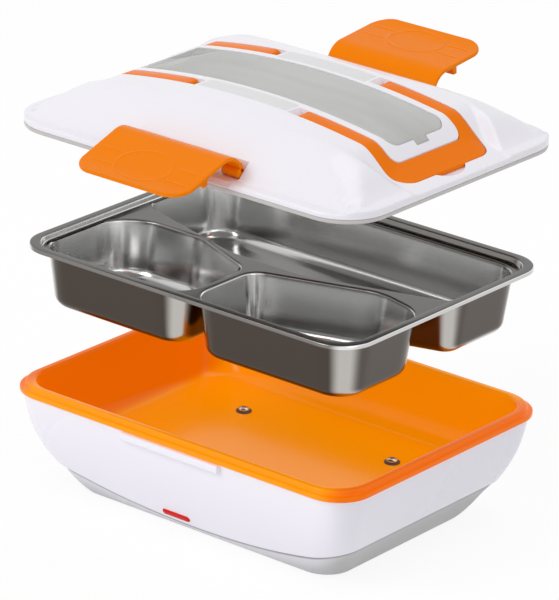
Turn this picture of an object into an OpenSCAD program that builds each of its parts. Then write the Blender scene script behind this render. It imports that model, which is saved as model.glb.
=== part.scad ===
// Electric lunch box with a lift-out steel tray and a clip-down lid, shown taken apart in three layers.
// Origin: on the table, under the middle of the base. X runs along the long side, Y to the back, Z up.

/* [Base] */
// Length of the rim of the base
rim_l = 236; // [232:1:244]
// Depth of the rim of the base
rim_w = 181; // [178:1:186]
// Corner radius of the rim seen from above
rim_r = 21; // [19:1:24]
// Wall of the white shell and the bottom cover
shell_wall = 2.4; // [2.0:0.1:2.6]
// Wall of the orange liner
liner_wall = 2.2; // [1.8:0.1:2.3]
// Lowest point of the curved seam between the shell and the bottom cover
seam_low = 5.5; // [5:0.5:6.5]
// Radius of the curved seam
seam_r = 333; // [320:1:350]

/* [Heater] */
// Distance of the floor screws in from the ends of the rim
floor_screw_end = 65.5; // [64:0.5:68]
// Distance of the floor screws in from the long sides of the rim
floor_screw_side = 52; // [50:0.5:54]
// Thickness of the heat spreader plate
plate_t = 2.5; // [2:0.1:2.8]

/* [Tray] */
// Depth of the compartments below the tray rim
tray_depth = 36.4; // [34:0.2:37]
// Thickness of the tray sheet
tray_t = 0.7; // [0.6:0.1:1.0]
// Draft of the compartment walls over their depth
tray_draft = 4; // [3:0.5:5]

/* [Lid] */
// Height of the crown of the lid over its lower edge
crown_h = 31; // [29:0.5:33]
// Height of the flat border of the lid over its lower edge
border_h = 5.5; // [5.5:0.1:6]
// Skin of the lid
lid_skin = 2.2; // [2.0:0.1:2.4]
// Half width of the spoon compartment cover
cover_hw = 24; // [22:0.2:25]

/* [Handles] */
// Distance of each handle hinge from the middle of the lid
hinge_x = 39; // [38:0.5:41]
// Outer half width of a handle
handle_hw = 39.5; // [38:0.5:40]
// Width of a handle arm
arm_w = 9.5; // [8.5:0.5:10]
// Diameter of the handle pins
handle_pin_d = 2.5; // [2.2:0.1:2.8]

/* [Clips] */
// Half width of a clip
clip_hw = 37; // [35:0.5:38]
// Length of the clip plate below its shoulder
clip_len = 37; // [34:0.5:40]
// Thickness of the clip sheet
clip_t = 2.2; // [2:0.1:2.4]
// Diameter of the clip pins
clip_pin_d = 2.4; // [2.2:0.1:2.6]

/* [Pose of the drawing] */
// Lift of the tray over its seat
tray_lift = 78.5; // [60:0.5:100]
// Lift of the lid over its seat
lid_lift = 147.3; // [135:0.5:170]
// Opening of the front clip from its latched place
clip_front_open = 71; // [0:1:110]
// Opening of the back clip from its latched place
clip_back_open = 96; // [0:1:110]

/* [Hidden] */

eps = 0.01;
big = 400;
corner_n = 8;
hl = rim_l / 2;
hw = rim_w / 2;

// Heights of the base
flange_z = 59.5;
ledge_z = 62.3;
bead_z = 65;
floor_z = 26;
floor_under = floor_z - liner_wall;
base_z = 1.2;
cover_floor_t = 2.2;
seam_step = 0.8;
seam_gap = 0.4;

// Profile of the base: height and how far the wall stands in from the rim
body_profile = [[base_z, 27.5], [3.2, 25.6], [8, 22], [16, 17], [22, 12.8], [30, 8.7], [40, 5],
    [50, 2.8], [flange_z, 1.5]];

// Profile of the liner, outside up, over the rim and down inside: distance in from the rim and height
liner_rows = [[24.2 - liner_wall, floor_under], [20.2 - liner_wall, floor_under + 0.8],
    [16.8 - liner_wall, 27], [14.8 - liner_wall, 31], [12 - liner_wall, 38], [10 - liner_wall, 46],
    [8.4 - liner_wall, 54], [7.5 - liner_wall, flange_z],
    [0, flange_z], [0, ledge_z - 0.5], [0.5, ledge_z], [2.2, ledge_z], [2.5, ledge_z + 0.3],
    [2.5, bead_z - 0.7], [3.2, bead_z], [6, bead_z], [6.7, 64.2], [7.2, 61], [8.4, 54], [10, 46],
    [12, 38], [14.5, floor_z + 5.5], [16.5, floor_z + 2.6], [19.5, floor_z + 0.6], [24, floor_z]];

// Heater stack under the floor
floor_screw_x = hl - floor_screw_end;
floor_screw_y = hw - floor_screw_side;
plate_l = hl - 50;
plate_w = hw - 40.5;
plate_r = 10;
element_in = 4;
clamp_in = 6;
stack_r = 6;
plate_z = floor_under - plate_t;
element_t = 1.6;
element_z = plate_z - element_t;
clamp_t = 1;
clamp_z = element_z - clamp_t;
floor_screw_d = 3;
washer_t = 0.8;
nut_t = 2.4;
thermostat_pos = [-24, 0];
thermostat_d = 16;
fuse_pos = [18, 14];
fuse_z = clamp_z - 2.4;
strap_gap = 0.05;

// Fastening of the bottom cover, and the feet
cover_screw_x = hl - 36;
cover_screw_y = hw - 66.5;
foot_x = hl - 42;
foot_y = hw - 44.5;
foot_d = 14;
foot_seat = 0.8;
screw_d = 2.6;
thread_fit = 0.03;

// Power indicator in the front wall
led_x = -10;
led_z = 10.8;
led_w = 19;
led_h = 3.4;
led_tilt = 32;
led_y = -(hw - body_inset(led_z));
lens_fit = 0.1;
led_lift = 4.6;
board_y = led_y + 12.5;
board_t = 1.6;

// Mains inlet in the left end of the bottom cover
inlet_z = 11.5;
inlet_w = 21.2;
inlet_h = 10.2;
inlet_x0 = -(hl - 22);
inlet_depth = 17;
pin_gap = 8.6;

// Catches for the clips
catch_hw = 34;
catch_z0 = 54.5;
catch_z1 = 59;
catch_out = hw + 1.5;

// Tray
tray_in = 3.8;
tray_rim_z = bead_z + 2.4;
tray_deck = tray_rim_z - 3.5;
tray_floor_z = tray_rim_z - tray_depth;
rim_flat = 5.5;
step_r = rim_r - 3;
comp_n = 6;

// Lid
lid_out = 3;
lid_l = hl;
lid_w = hw + lid_out;
lid_r = rim_r + 5;
lid_z = bead_z + 1.2;
band_h = 2.3;
plate_top = 4;
lip_w = 3.4;
plate_in = 2;
plate_gap = 0.2;
seal_z = 1.2;
seal_t = plate_top - 1.5 - seal_z;
seal_w = 5;
foot_of_bulge = 86;
top_of_bulge = 36;
cover_hl = hl - 30;
apron_h = 10;
apron_x = cover_hl + 12;
drop_x0 = cover_hl - 8;
drop_x1 = cover_hl + 15;
arch_sag = 7;
corner_x = cover_hl - 28;
corner_in = 6;
valley_y = 41;
valley_w = 16;
arch_x = cover_hl - 6;
cover_t = 1.8;
tub_floor = 11;
tub_wall = 2;
cover_gap = 0.35;
cover_barrel_r = 1.8;
cover_axis_x = cover_barrel_r - cover_hl;
cover_axis_z = crown_at(cover_axis_x) - 2;
tab_w = 10;
tab_l = 2.8;
lid_screw_x = hl - 56;
lid_screw_y = hw - 28.5;

// Handles
handle_t = 4.8;
bridge_x0 = cover_hl + 7;
bridge_x1 = bridge_x0 + 14;
handle_low = 5.6;
groove_gap = 0.35;
hinge_z = crown_at(hinge_x) - handle_t / 2;
relief_x = hinge_x - 7.6;
bridge_reach = norm([bridge_x1 - hinge_x, hinge_z - crown_at(bridge_x1)]);
pin_reach = 3;
run_fit = 0.06;
press_fit = 0.02;

// Clips, drawn in the plane across the lid with the pin at the origin, latched
axis_y = hw - 7;
axis_z = 8.6;
barrel_r = 2.8;
shoulder_r = 13;
shoulder_y = 1;
plate_y = shoulder_y + shoulder_r;
root_drop = 0.15;
flare_l = 14;
flare_r = 60;
tip_r = 12;
clip_low = barrel_r - root_drop - shoulder_r - clip_len;
hook_r = norm([catch_out - axis_y, lid_z + axis_z - catch_z0]) + 0.25;
hook_t = 2;
hook_l = 6.4;
knuckle_x0 = 9;
knuckle_x1 = 26;
knuckle_gap = 0.2;
lid_knuckles = [[-knuckle_x1, -knuckle_x0], [knuckle_x0, knuckle_x1]];
clip_barrels = [[-clip_hw, -knuckle_x1 - knuckle_gap], [knuckle_gap - knuckle_x0, knuckle_x0 - knuckle_gap],
    [knuckle_x1 + knuckle_gap, clip_hw]];
pocket_y = axis_y - 6;

// Distance of the base wall in from the rim at a height
function body_inset(z) = lookup(z, body_profile);

// Corner radius of a ring that stands in from the rim
function corner_r(inset) = max(rim_r - 0.18 * inset, 4);

// Outline of a rounded rectangle, half sizes a and b, as corner arcs of n steps
function round_rect(a, b, r, n = corner_n) =
    let (centres = [[a - r, b - r], [r - a, b - r], [r - a, r - b], [a - r, r - b]])
    [for (k = [0:3]) for (i = [0:n]) let (t = 90 * (k + i / n)) centres[k] + r * [cos(t), sin(t)]];

// The same outline at an inset from the rim and a height
function rim_ring(inset, z) = [for (p = round_rect(hl - inset, hw - inset, corner_r(inset))) [p.x, p.y, z]];

// Outline with rounded corners from [x, y, radius] corners taken counterclockwise, moved in by d
function line_in(p, q, d) =
    let (v = (q - p) / norm(q - p))
    [p + d * [-v.y, v.x], v];
function meet(a, b) =
    let (c = a[1].x * b[1].y - a[1].y * b[1].x, w = b[0] - a[0])
    a[0] + a[1] * (w.x * b[1].y - w.y * b[1].x) / c;
function corner_xy(c, i) = let (k = (i + len(c)) % len(c)) [c[k].x, c[k].y];
function corner_arc(c, i, d, n) =
    let (
        before = line_in(corner_xy(c, i - 1), corner_xy(c, i), d),
        after = line_in(corner_xy(c, i), corner_xy(c, i + 1), d),
        tip = meet(before, after),
        turn = before[1].x * after[1].y - before[1].y * after[1].x,
        side = turn > 0 ? 1 : -1,
        r = max(c[i].z - side * d, 0.6),
        bend = acos(max(min(before[1] * after[1], 1), -1)),
        back = r * tan(bend / 2),
        start = tip - back * before[1],
        hub = start + side * r * [-before[1].y, before[1].x],
        spoke = start - hub
    )
    [for (k = [0:n]) let (t = side * bend * k / n)
        hub + [spoke.x * cos(t) - spoke.y * sin(t), spoke.x * sin(t) + spoke.y * cos(t)]];
function rounded(c, d, n = comp_n) = [for (i = [0:len(c) - 1]) for (p = corner_arc(c, i, d, n)) p];
function at_z(outline, z) = [for (p = outline) [p.x, p.y, z]];

// Closed skin over a stack of rings with the same number of points, capped at both ends
module skin(rings) {
    n = len(rings[0]);
    m = len(rings);
    sides = [for (k = [0:m - 2]) for (i = [0:n - 1]) let (j = (i + 1) % n)
        each [[k * n + i, (k + 1) * n + i, k * n + j], [k * n + j, (k + 1) * n + i, (k + 1) * n + j]]];
    first = [[for (i = [0:n - 1]) i]];
    last = [[for (i = [n - 1:-1:0]) (m - 1) * n + i]];
    polyhedron(points = [for (r = rings) for (p = r) p], faces = concat(sides, first, last));
}

// Plate with a rounded rectangle outline, built from true cylinders
module round_plate(a, b, r, h) {
    linear_extrude(h) round_plan(a, b, r);
}
module round_plan(a, b, r) {
    square([2 * a, 2 * (b - r)], center = true);
    square([2 * (a - r), 2 * b], center = true);
    for (x = [-1, 1], y = [-1, 1]) translate([x * (a - r), y * (b - r)]) circle(r, $fn = 96);
}
module round_ring(a, b, r, w, h) {
    difference() {
        round_plate(a, b, r, h);
        translate([0, 0, -1]) round_plate(a - w, b - w, max(r - w, 1), h + 2);
    }
}

// Insulated wire along a list of points, its bends eased by a reach of 3
function unit(v) = v / norm(v);
function eased(p, i) =
    let (a = p[i] + 3 * unit(p[i - 1] - p[i]), b = p[i] + 3 * unit(p[i + 1] - p[i]))
    [a, 0.25 * a + 0.5 * p[i] + 0.25 * b, b];
module wire(points, d, n = 10) {
    last = len(points) - 1;
    path = concat([points[0]], [for (i = [1:1:last - 1]) each eased(points, i)], [points[last]]);
    m = len(path) - 1;
    skin([for (i = [0:m]) let (
            v = unit(path[min(i + 1, m)] - path[max(i - 1, 0)]),
            side = unit(cross(v, [0, 0, 1])),
            rise = cross(side, v)
        ) [for (k = [0:n - 1]) path[i] + d / 2 * (cos(360 * k / n) * side - sin(360 * k / n) * rise)]]);
}

// Four places, one in each quarter
module four(x, y) {
    for (sx = [-1, 1], sy = [-1, 1]) translate([sx * x, sy * y, 0]) children();
}

// Base

// Solid body of the base, drawn in by d, from the table side up to the flange
module body_solid(d, z0) {
    rows = [for (row = body_profile) if (row[0] > z0) row];
    skin(concat([rim_ring(body_inset(z0) + d, z0)], [for (row = rows) rim_ring(row[1] + d, row[0])]));
}

// Everything above the seam
module above_seam(grow = 0) {
    translate([0, 0, seam_low + seam_r]) rotate([90, 0, 0])
        cylinder(r = seam_r + grow, h = 2 * rim_w, center = true, $fn = 360);
}

// Rounded bar that the lens fills
module lens_bar(grow, y0, y1) {
    translate([led_x, led_y, led_z]) rotate([90 + led_tilt, 0, 0]) translate([0, 0, y0]) linear_extrude(y1 - y0) {
        square([led_w - led_h, led_h + 2 * grow], center = true);
        for (s = [-1, 1]) translate([s * (led_w - led_h) / 2, 0]) circle(d = led_h + 2 * grow, $fn = 32);
    }
}

module outer_shell() {
    color("#f2f0f6") {
        difference() {
            intersection() {
                difference() {
                    body_solid(0, base_z);
                    translate([0, 0, eps]) body_solid(shell_wall, base_z);
                    translate([-big / 2, -big / 2, base_z - 1]) cube([big, big, 1 + 2 * eps]);
                }
                above_seam();
            }
            lens_bar(lens_fit, -12, 5);
        }
        for (s = [-1, 1]) catch(s);
    }
}

// Ledge under the rim that a clip hooks below
module catch(s) {
    y0 = hw - body_inset(catch_z0) - 1;
    translate([-catch_hw, s > 0 ? y0 : -catch_out, catch_z0])
        cube([2 * catch_hw, catch_out - y0, catch_z1 - catch_z0]);
}

module bottom_cover() {
    color("#d3d2d8")
        difference() {
            union() {
                difference() {
                    body_solid(seam_step, base_z);
                    translate([0, 0, cover_floor_t]) body_solid(seam_step + shell_wall, base_z);
                    above_seam(seam_gap);
                }
                intersection() {
                    translate([inlet_x0 - 9, -inlet_w / 2 - 2, base_z + 1])
                        cube([inlet_depth + 9, inlet_w + 4, inlet_z + inlet_h / 2 + 1 - base_z]);
                    body_solid(seam_step, base_z);
                }
            }
            translate([inlet_x0 - 9, -inlet_w / 2, inlet_z - inlet_h / 2])
                cube([inlet_depth + 10, inlet_w, inlet_h]);
            four(foot_x, foot_y) translate([0, 0, base_z - 1])
                cylinder(d = foot_d + 0.4, h = 1 + foot_seat, $fn = 64);
            four(cover_screw_x, cover_screw_y) {
                translate([0, 0, base_z - eps]) cylinder(d1 = 5.8, d2 = 3.2, h = 1.4, $fn = 32);
                translate([0, 0, base_z]) cylinder(d = 3.2, h = 5, $fn = 32);
            }
        }
}

module inner_liner() {
    color("#f58a12")
        difference() {
            union() {
                skin([for (row = liner_rows) rim_ring(row[0], row[1])]);
                four(cover_screw_x, cover_screw_y) translate([0, 0, base_z + cover_floor_t])
                    cylinder(d = 8, h = floor_under - base_z - cover_floor_t + 1, $fn = 48);
            }
            four(cover_screw_x, cover_screw_y) translate([0, 0, base_z + cover_floor_t - 1])
                cylinder(d = screw_d + 2 * thread_fit, h = 14, $fn = 32);
            four(floor_screw_x, floor_screw_y) translate([0, 0, floor_under - 1])
                cylinder(d = floor_screw_d + 0.2, h = liner_wall + 2, $fn = 32);
        }
}

// Plate of the heater stack with the four screw holes
module stack_plate(a, b, z, t, r) {
    translate([0, 0, z]) difference() {
        round_plate(a, b, r, t);
        four(floor_screw_x, floor_screw_y) translate([0, 0, -1])
            cylinder(d = floor_screw_d + 0.2, h = t + 2, $fn = 32);
    }
}
module heat_plate() {
    color("#b9bcc0") stack_plate(plate_l, plate_w, plate_z, plate_t, plate_r);
}
module heater_element() {
    color("#c9b48a") stack_plate(plate_l - element_in, plate_w - element_in, element_z, element_t, stack_r);
}
module heater_clamp() {
    color("#9fa3a8") stack_plate(plate_l - clamp_in, plate_w - clamp_in, clamp_z, clamp_t, stack_r);
}
module floor_screws() {
    color("#c9ccd0") four(floor_screw_x, floor_screw_y) {
        translate([0, 0, clamp_z - 5]) cylinder(d = floor_screw_d, h = floor_z + washer_t - clamp_z + 5 + 1, $fn = 32);
        translate([0, 0, floor_z + washer_t]) difference() {
            cylinder(d1 = 6.6, d2 = 5, h = 1.8, $fn = 48);
            translate([0, 0, 1]) for (a = [0, 90]) rotate(a) translate([-1.6, -0.35, 0]) cube([3.2, 0.7, 2]);
        }
    }
}
module floor_washers() {
    color("#55585c") four(floor_screw_x, floor_screw_y) translate([0, 0, floor_z]) difference() {
        cylinder(d = 9, h = washer_t, $fn = 48);
        translate([0, 0, -1]) cylinder(d = floor_screw_d + 0.2, h = 3, $fn = 32);
    }
}
module floor_nuts() {
    color("#c9ccd0") four(floor_screw_x, floor_screw_y) translate([0, 0, clamp_z - nut_t]) difference() {
        cylinder(d = 6.4, h = nut_t, $fn = 6);
        translate([0, 0, -1]) cylinder(d = floor_screw_d + 2 * thread_fit, h = nut_t + 2, $fn = 32);
    }
}
module thermostat() {
    color("#26272b") translate([thermostat_pos.x, thermostat_pos.y, 0]) {
        translate([0, 0, clamp_z - 7]) cylinder(d = thermostat_d, h = 7, $fn = 64);
        translate([0, 0, clamp_z - 0.8]) linear_extrude(0.8) {
            square([24, 8], center = true);
            for (s = [-1, 1]) translate([12 * s, 0]) circle(d = 8, $fn = 48);
        }
    }
}
module thermal_fuse() {
    color("#e9e4d8") translate([fuse_pos.x, fuse_pos.y, fuse_z]) rotate([0, 90, 0])
        cylinder(d = 4, h = 14, center = true, $fn = 32);
}
module fuse_strap() {
    color("#9fa3a8") translate([fuse_pos.x - 3, fuse_pos.y, 0]) rotate([90, 0, 90]) linear_extrude(6) difference() {
        union() {
            translate([0, fuse_z]) circle(d = 5.4, $fn = 48);
            translate([-2.7, fuse_z]) square([5.4, clamp_z - fuse_z]);
            translate([-7, clamp_z - 0.8]) square([14, 0.8]);
        }
        translate([0, fuse_z]) circle(d = 4 + 2 * strap_gap, $fn = 32);
        translate([-2 - strap_gap, fuse_z]) square([4 + 2 * strap_gap, clamp_z - fuse_z + 1]);
    }
}
module indicator_lens() {
    color("#e02318") lens_bar(0, -8, 0.4);
}
module indicator_led() {
    color("#ff6a50") translate([led_x, board_y, led_z + led_lift]) rotate([90, 0, 0]) {
        cylinder(d = 3, h = 2.6, $fn = 32);
        translate([0, 0, 2.6]) sphere(d = 3, $fn = 32);
    }
}
module indicator_board() {
    color("#2f6b46") translate([led_x - 12, board_y, base_z + cover_floor_t]) cube([24, board_t, 16]);
}

// Two-pin inlet: recess outline and housing
module inlet_recess() {
    square([pin_gap, 6.4], center = true);
    for (s = [-1, 1]) translate([s * pin_gap / 2, 0]) circle(r = 4, $fn = 48);
}
module inlet_socket() {
    color("#1d1e21") difference() {
        translate([inlet_x0, -inlet_w / 2, inlet_z - inlet_h / 2]) cube([inlet_depth, inlet_w, inlet_h]);
        translate([inlet_x0 - 1, 0, inlet_z]) rotate([90, 0, 90]) linear_extrude(13) inlet_recess();
        for (s = [-1, 1]) translate([inlet_x0, s * pin_gap / 2, inlet_z]) rotate([0, 90, 0])
            cylinder(d = 2.4, h = inlet_depth + 1, $fn = 32);
    }
}
module inlet_pins() {
    color("#c8a24a") for (s = [-1, 1]) translate([inlet_x0 + 3, s * pin_gap / 2, inlet_z]) {
        rotate([0, 90, 0]) cylinder(d = 2.4, h = inlet_depth - 3, $fn = 32);
        translate([inlet_depth - 3, -1.4, -1.4]) cube([3, 2.8, 2.8]);
    }
}

// Insulated leads under the floor
lead_d = 2;
lead_z = inlet_z;
lead_low = base_z + cover_floor_t + 1.4;
terminal_x = inlet_x0 + inlet_depth + 3;
fuse_y = fuse_pos.y;
module lead_live() {
    color("#8a4b2a") wire([[terminal_x, -pin_gap / 2, lead_z], [terminal_x + 8, -pin_gap / 2, lead_z],
        [terminal_x + 8, -20, lead_low], [fuse_pos.x - 22, -20, lead_low], [fuse_pos.x - 14, fuse_y, 9],
        [fuse_pos.x - 11, fuse_y, fuse_z], [fuse_pos.x - 7, fuse_y, fuse_z]], lead_d);
}
module lead_neutral() {
    color("#2b55a0") wire([[terminal_x, pin_gap / 2, lead_z], [terminal_x + 8, pin_gap / 2, lead_z],
        [-44, 4, lead_z], [thermostat_pos.x - thermostat_d / 2 - 5, 0, clamp_z - 4],
        [thermostat_pos.x - thermostat_d / 2, 0, clamp_z - 4]], lead_d);
}
module lead_indicator() {
    color("#b8352a") wire([[thermostat_pos.x + thermostat_d / 2, 0, clamp_z - 4],
        [led_x, 0, clamp_z - 4], [led_x, -6, 10], [led_x, -40, 10], [led_x, board_y + 8, 8],
        [led_x, board_y + board_t, 8]], lead_d);
}
module rubber_feet() {
    color("#3a3b3f") four(foot_x, foot_y) cylinder(d = foot_d, h = base_z + foot_seat, $fn = 64);
}
module cover_screws() {
    color("#c9ccd0") four(cover_screw_x, cover_screw_y) translate([0, 0, base_z]) {
        cylinder(d1 = 5.6, d2 = 3, h = 1.4, $fn = 32);
        translate([0, 0, 1]) cylinder(d = screw_d, h = 11, $fn = 32);
    }
}

// Tray

// Corners of the three compartments, counterclockwise, with their radii
comp_x = hl - 11;
comp_y0 = hw - 11.5;
comp_y1 = hw - 13;
front_left = [[-comp_x, -comp_y0, 20], [-4.5, -comp_y0, 18], [-4.5, -25, 14], [-52, -5, 30], [-comp_x, -5, 26]];
front_right = [[0.5, -comp_y0, 18], [comp_x, -comp_y0, 20], [comp_x, -12, 24], [70, -2.5, 30], [0.5, -25, 12]];
back_long = [[-comp_x, 14, 14], [-26, -10.5, 50], [26, -10.5, 50], [comp_x, 14, 14], [comp_x, comp_y1, 20],
    [-comp_x, comp_y1, 20]];

// One compartment: draft and height of its rings, up outside and down inside
module compartment(c) {
    rows = [[tray_draft + 5, 0], [tray_draft + 2, 0.8], [tray_draft, 3], [tray_draft - 0.9, 7]];
    outside = [for (row = rows) at_z(rounded(c, row[0] - tray_t), tray_floor_z + row[1])];
    inside = [for (i = [len(rows) - 1:-1:0]) at_z(rounded(c, rows[i][0]), tray_floor_z + tray_t + rows[i][1])];
    skin(concat(outside, [at_z(rounded(c, -tray_t), tray_deck), at_z(rounded(c, 0), tray_deck)], inside));
}
module food_tray() {
    a = hl - tray_in;
    b = hw - tray_in + 1.5;
    r = rim_r - 1;
    color("#a9adb3") translate([0, 0, tray_lift]) {
        translate([0, 0, bead_z]) round_ring(a, b, r, 1.2, tray_rim_z - bead_z - tray_t / 2);
        translate([0, 0, tray_rim_z - tray_t]) difference() {
            round_plate(a, b, r, tray_t);
            translate([0, 0, -1]) round_plate(a - rim_flat, b - rim_flat, step_r - tray_t, tray_t + 2);
        }
        translate([0, 0, tray_deck - tray_t])
            round_ring(a - rim_flat + tray_t, b - rim_flat + tray_t, step_r, tray_t,
                tray_rim_z - tray_deck + tray_t - eps);
        difference() {
            translate([0, 0, tray_deck - tray_t])
                round_plate(a - rim_flat + tray_t / 2, b - rim_flat + tray_t / 2, step_r - tray_t / 2, tray_t);
            for (c = [front_left, front_right, back_long])
                translate([0, 0, tray_deck - 2 * tray_t]) linear_extrude(3 * tray_t) polygon(rounded(c, -tray_t / 2));
        }
        for (c = [front_left, front_right, back_long]) compartment(c);
    }
}

// Lid. Its parts are drawn with the lower edge at zero and then lifted to their place.

function smooth(t) = let (u = max(min(t, 1), 0)) u * u * (3 - 2 * u);

// Height of the crown along the box, of the bulge across it, and of the top where they meet
function crown_at(x) =
    let (
        s = smooth((abs(x) - drop_x0) / (drop_x1 - drop_x0)),
        arch = crown_h - arch_sag * pow(x / arch_x, 2),
        apron = border_h + (apron_h - border_h) * (lid_l - abs(x)) / (lid_l - apron_x)
    )
    arch * (1 - s) + min(apron, arch) * s;
function bulge_at(y) =
    let (t = max(min((abs(y) - top_of_bulge) / (foot_of_bulge - top_of_bulge), 1), 0))
    border_h + (crown_h - border_h) * (1 - t * t);
function corner_at(x) =
    let (t = max(min((abs(x) - corner_x) / (lid_l - corner_in - corner_x), 1), 0))
    min(crown_h - arch_sag * pow(x / arch_x, 2), border_h + (crown_h - border_h) * (1 - t * t));
function both_ways(steps) = concat([for (i = [len(steps) - 1:-1:1]) -steps[i]], steps);
corner_steps = concat([for (i = [0:7]) drop_x0 * i / 7],
    [for (i = [1:9]) drop_x0 + (lid_l - corner_in - drop_x0) * i / 9], [lid_l + 2]);
crown_steps = concat([for (i = [0:7]) (drop_x0 - 10) * i / 7],
    [for (i = [0:12]) drop_x0 - 5 + (drop_x1 - drop_x0 + 7) * i / 12], [lid_l - 9, lid_l + 2]);
bulge_steps = concat([0, top_of_bulge], [for (y = [41:5:foot_of_bulge]) y], [foot_of_bulge, lid_w + 2]);

// Solid between two heights that follow the crown
module crown_band(low, high, y0, y1) {
    xs = both_ways(crown_steps);
    top = [for (x = xs) [x, crown_at(x) + high]];
    bottom = [for (i = [len(xs) - 1:-1:0]) [xs[i], max(crown_at(xs[i]) + low, plate_top)]];
    translate([0, y1, 0]) rotate([90, 0, 0]) linear_extrude(y1 - y0) polygon(concat(bottom, top));
}

// Solid under the bulge, drawn down by d
module bulge_solid(d) {
    ys = both_ways(bulge_steps);
    top = [for (y = ys) [y, bulge_at(y) - d]];
    translate([-lid_l - 5, 0, 0]) rotate([90, 0, 90]) linear_extrude(2 * lid_l + 10)
        polygon(concat(top, [[lid_w + 2, plate_top - 3], [-lid_w - 2, plate_top - 3]]));
}

// Solid lid from a height up to the skin
module lid_block(d, inset, z0) {
    intersection() {
        translate([0, 0, z0]) round_plate(lid_l - inset, lid_w - inset, lid_r - inset, crown_h);
        bulge_solid(d);
        union() {
            crown_fill(d);
            full_corners(d);
        }
    }
}
module crown_fill(d) {
    xs = both_ways(crown_steps);
    fill_under([for (i = [len(xs) - 1:-1:0]) [xs[i], crown_at(xs[i]) - d]]);
}
module fill_under(top) {
    translate([0, lid_w + 5, 0]) rotate([90, 0, 0]) linear_extrude(2 * lid_w + 10)
        polygon(concat([[-lid_l - 2, plate_top - 3], [lid_l + 2, plate_top - 3]], top));
}

// Full corners beside the handle channels, which rise from the foot of a valley on each side
module full_corners(d) {
    xs = both_ways(corner_steps);
    y0 = valley_y + 0.6 * d;
    intersection() {
        fill_under([for (i = [len(xs) - 1:-1:0]) [xs[i], corner_at(xs[i]) - d]]);
        for (s = [-1, 1]) translate([-lid_l - 5, 0, 0]) rotate([90, 0, 90]) linear_extrude(2 * lid_l + 10)
            polygon([[s * y0, plate_top - 3], [s * y0, border_h - d], [s * (y0 + valley_w), crown_h - d],
                [s * (lid_w + 4), crown_h - d], [s * (lid_w + 4), plate_top - 3]]);
    }
}

// Plan of one U-shaped handle on the right side, grown by g
module handle_plan(g, x0) {
    difference() {
        handle_end(x0, bridge_x1 + g, handle_hw + g, 12 + g);
        handle_end(x0 - 1, bridge_x0 - g, handle_hw - arm_w - g, 6);
    }
}
module handle_end(x0, x1, w, r) {
    translate([x0, -w]) square([x1 - r - x0, 2 * w]);
    translate([x0, r - w]) square([x1 - x0, 2 * (w - r)]);
    for (s = [-1, 1]) translate([x1 - r, s * (w - r)]) circle(r, $fn = 64);
}

// The plan above raised between two heights under the crown
module handle_body(g, x0, low, high, flat) {
    intersection() {
        linear_extrude(crown_h + 5) handle_plan(g, x0);
        crown_sheet(low, high, flat);
        translate([hinge_x, 0, hinge_z]) rotate([90, 0, 0])
            cylinder(r = bridge_reach + g, h = 3 * handle_hw, center = true, $fn = 360);
    }
}
module crown_sheet(low, high, flat) {
    xs = [for (x = crown_steps) if (x >= 20) x];
    top = [for (x = xs) [x, crown_at(x) + high]];
    bottom = [for (i = [len(xs) - 1:-1:0]) [xs[i], max(crown_at(xs[i]) + low, flat)]];
    translate([0, handle_hw + 5, 0]) rotate([90, 0, 0]) linear_extrude(2 * handle_hw + 10)
        polygon(concat(bottom, top));
}

module lid_shell() {
    spoon_y = cover_hw + cover_gap;
    color("#f4f2f7") translate([0, 0, lid_lift + lid_z]) difference() {
        union() {
            difference() {
                lid_block(0, 0, band_h);
                difference() {
                    lid_block(lid_skin, lid_skin, band_h - 1);
                    lid_solids();
                }
                translate([0, 0, band_h - 1]) round_plate(lid_l - plate_in, lid_w - plate_in, lid_r - plate_in,
                    plate_top - band_h + 1);
            }
            for (s = [0, 180]) rotate(s) knuckles();
        }
        for (s = [0, 180]) rotate(s) {
            handle_body(groove_gap, hinge_x, -handle_t - groove_gap, 5, handle_low - 0.3);
            hinge_pocket();
            clip_pocket();
            finger_scoop();
            for (y = [-1, 1]) translate([hinge_x, y * (handle_hw - arm_w / 2), hinge_z]) rotate([90, 0, 0])
                cylinder(d = handle_pin_d + 2 * press_fit, h = arm_w + 2 * pin_reach, center = true, $fn = 48);
        }
        spoon_opening(spoon_y);
        for (s = [-1, 1]) translate([0, s * axis_y, axis_z]) rotate([0, 90, 0])
            cylinder(d = clip_pin_d + 2 * press_fit, h = 2 * clip_hw + 2, center = true, $fn = 48);
        four(lid_screw_x, lid_screw_y) translate([0, 0, plate_top - 1])
            cylinder(d = screw_d + 2 * thread_fit, h = 10, $fn = 32);
    }
}

// Solid parts inside the hollow lid: handle channels, spoon tub and screw bosses
module lid_solids() {
    for (s = [0, 180]) rotate(s)
        handle_body(pin_reach + 1.5, relief_x - 2, -handle_t - 2.2, 5, plate_top);
    for (s = [0, 180]) rotate(s)
        translate([-clip_hw - 2.6, pocket_y - lid_skin, 0]) cube([2 * clip_hw + 5.2, lid_w, crown_h]);
    translate([-cover_hl - 4, -cover_hw - 4, tub_floor - tub_wall]) cube([2 * cover_hl + 8, 2 * cover_hw + 8, big]);
    four(lid_screw_x, lid_screw_y) cylinder(d = 7, h = big, $fn = 48);
}

// Room around the pinned end of the handle arms, with a ramp that lets them swing past upright
module hinge_pocket() {
    low = hinge_z - handle_t / 2 - groove_gap;
    for (y = [-1, 1]) translate([0, y * (handle_hw - arm_w / 2) + arm_w / 2 + groove_gap, 0])
        rotate([90, 0, 0]) linear_extrude(arm_w + 2 * groove_gap)
            polygon([[hinge_x - 2.9, low], [hinge_x + 3, low], [hinge_x + 3, crown_h + 5],
                [relief_x - 3.4, crown_h + 5], [relief_x, crown_at(relief_x)]]);
}

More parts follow.
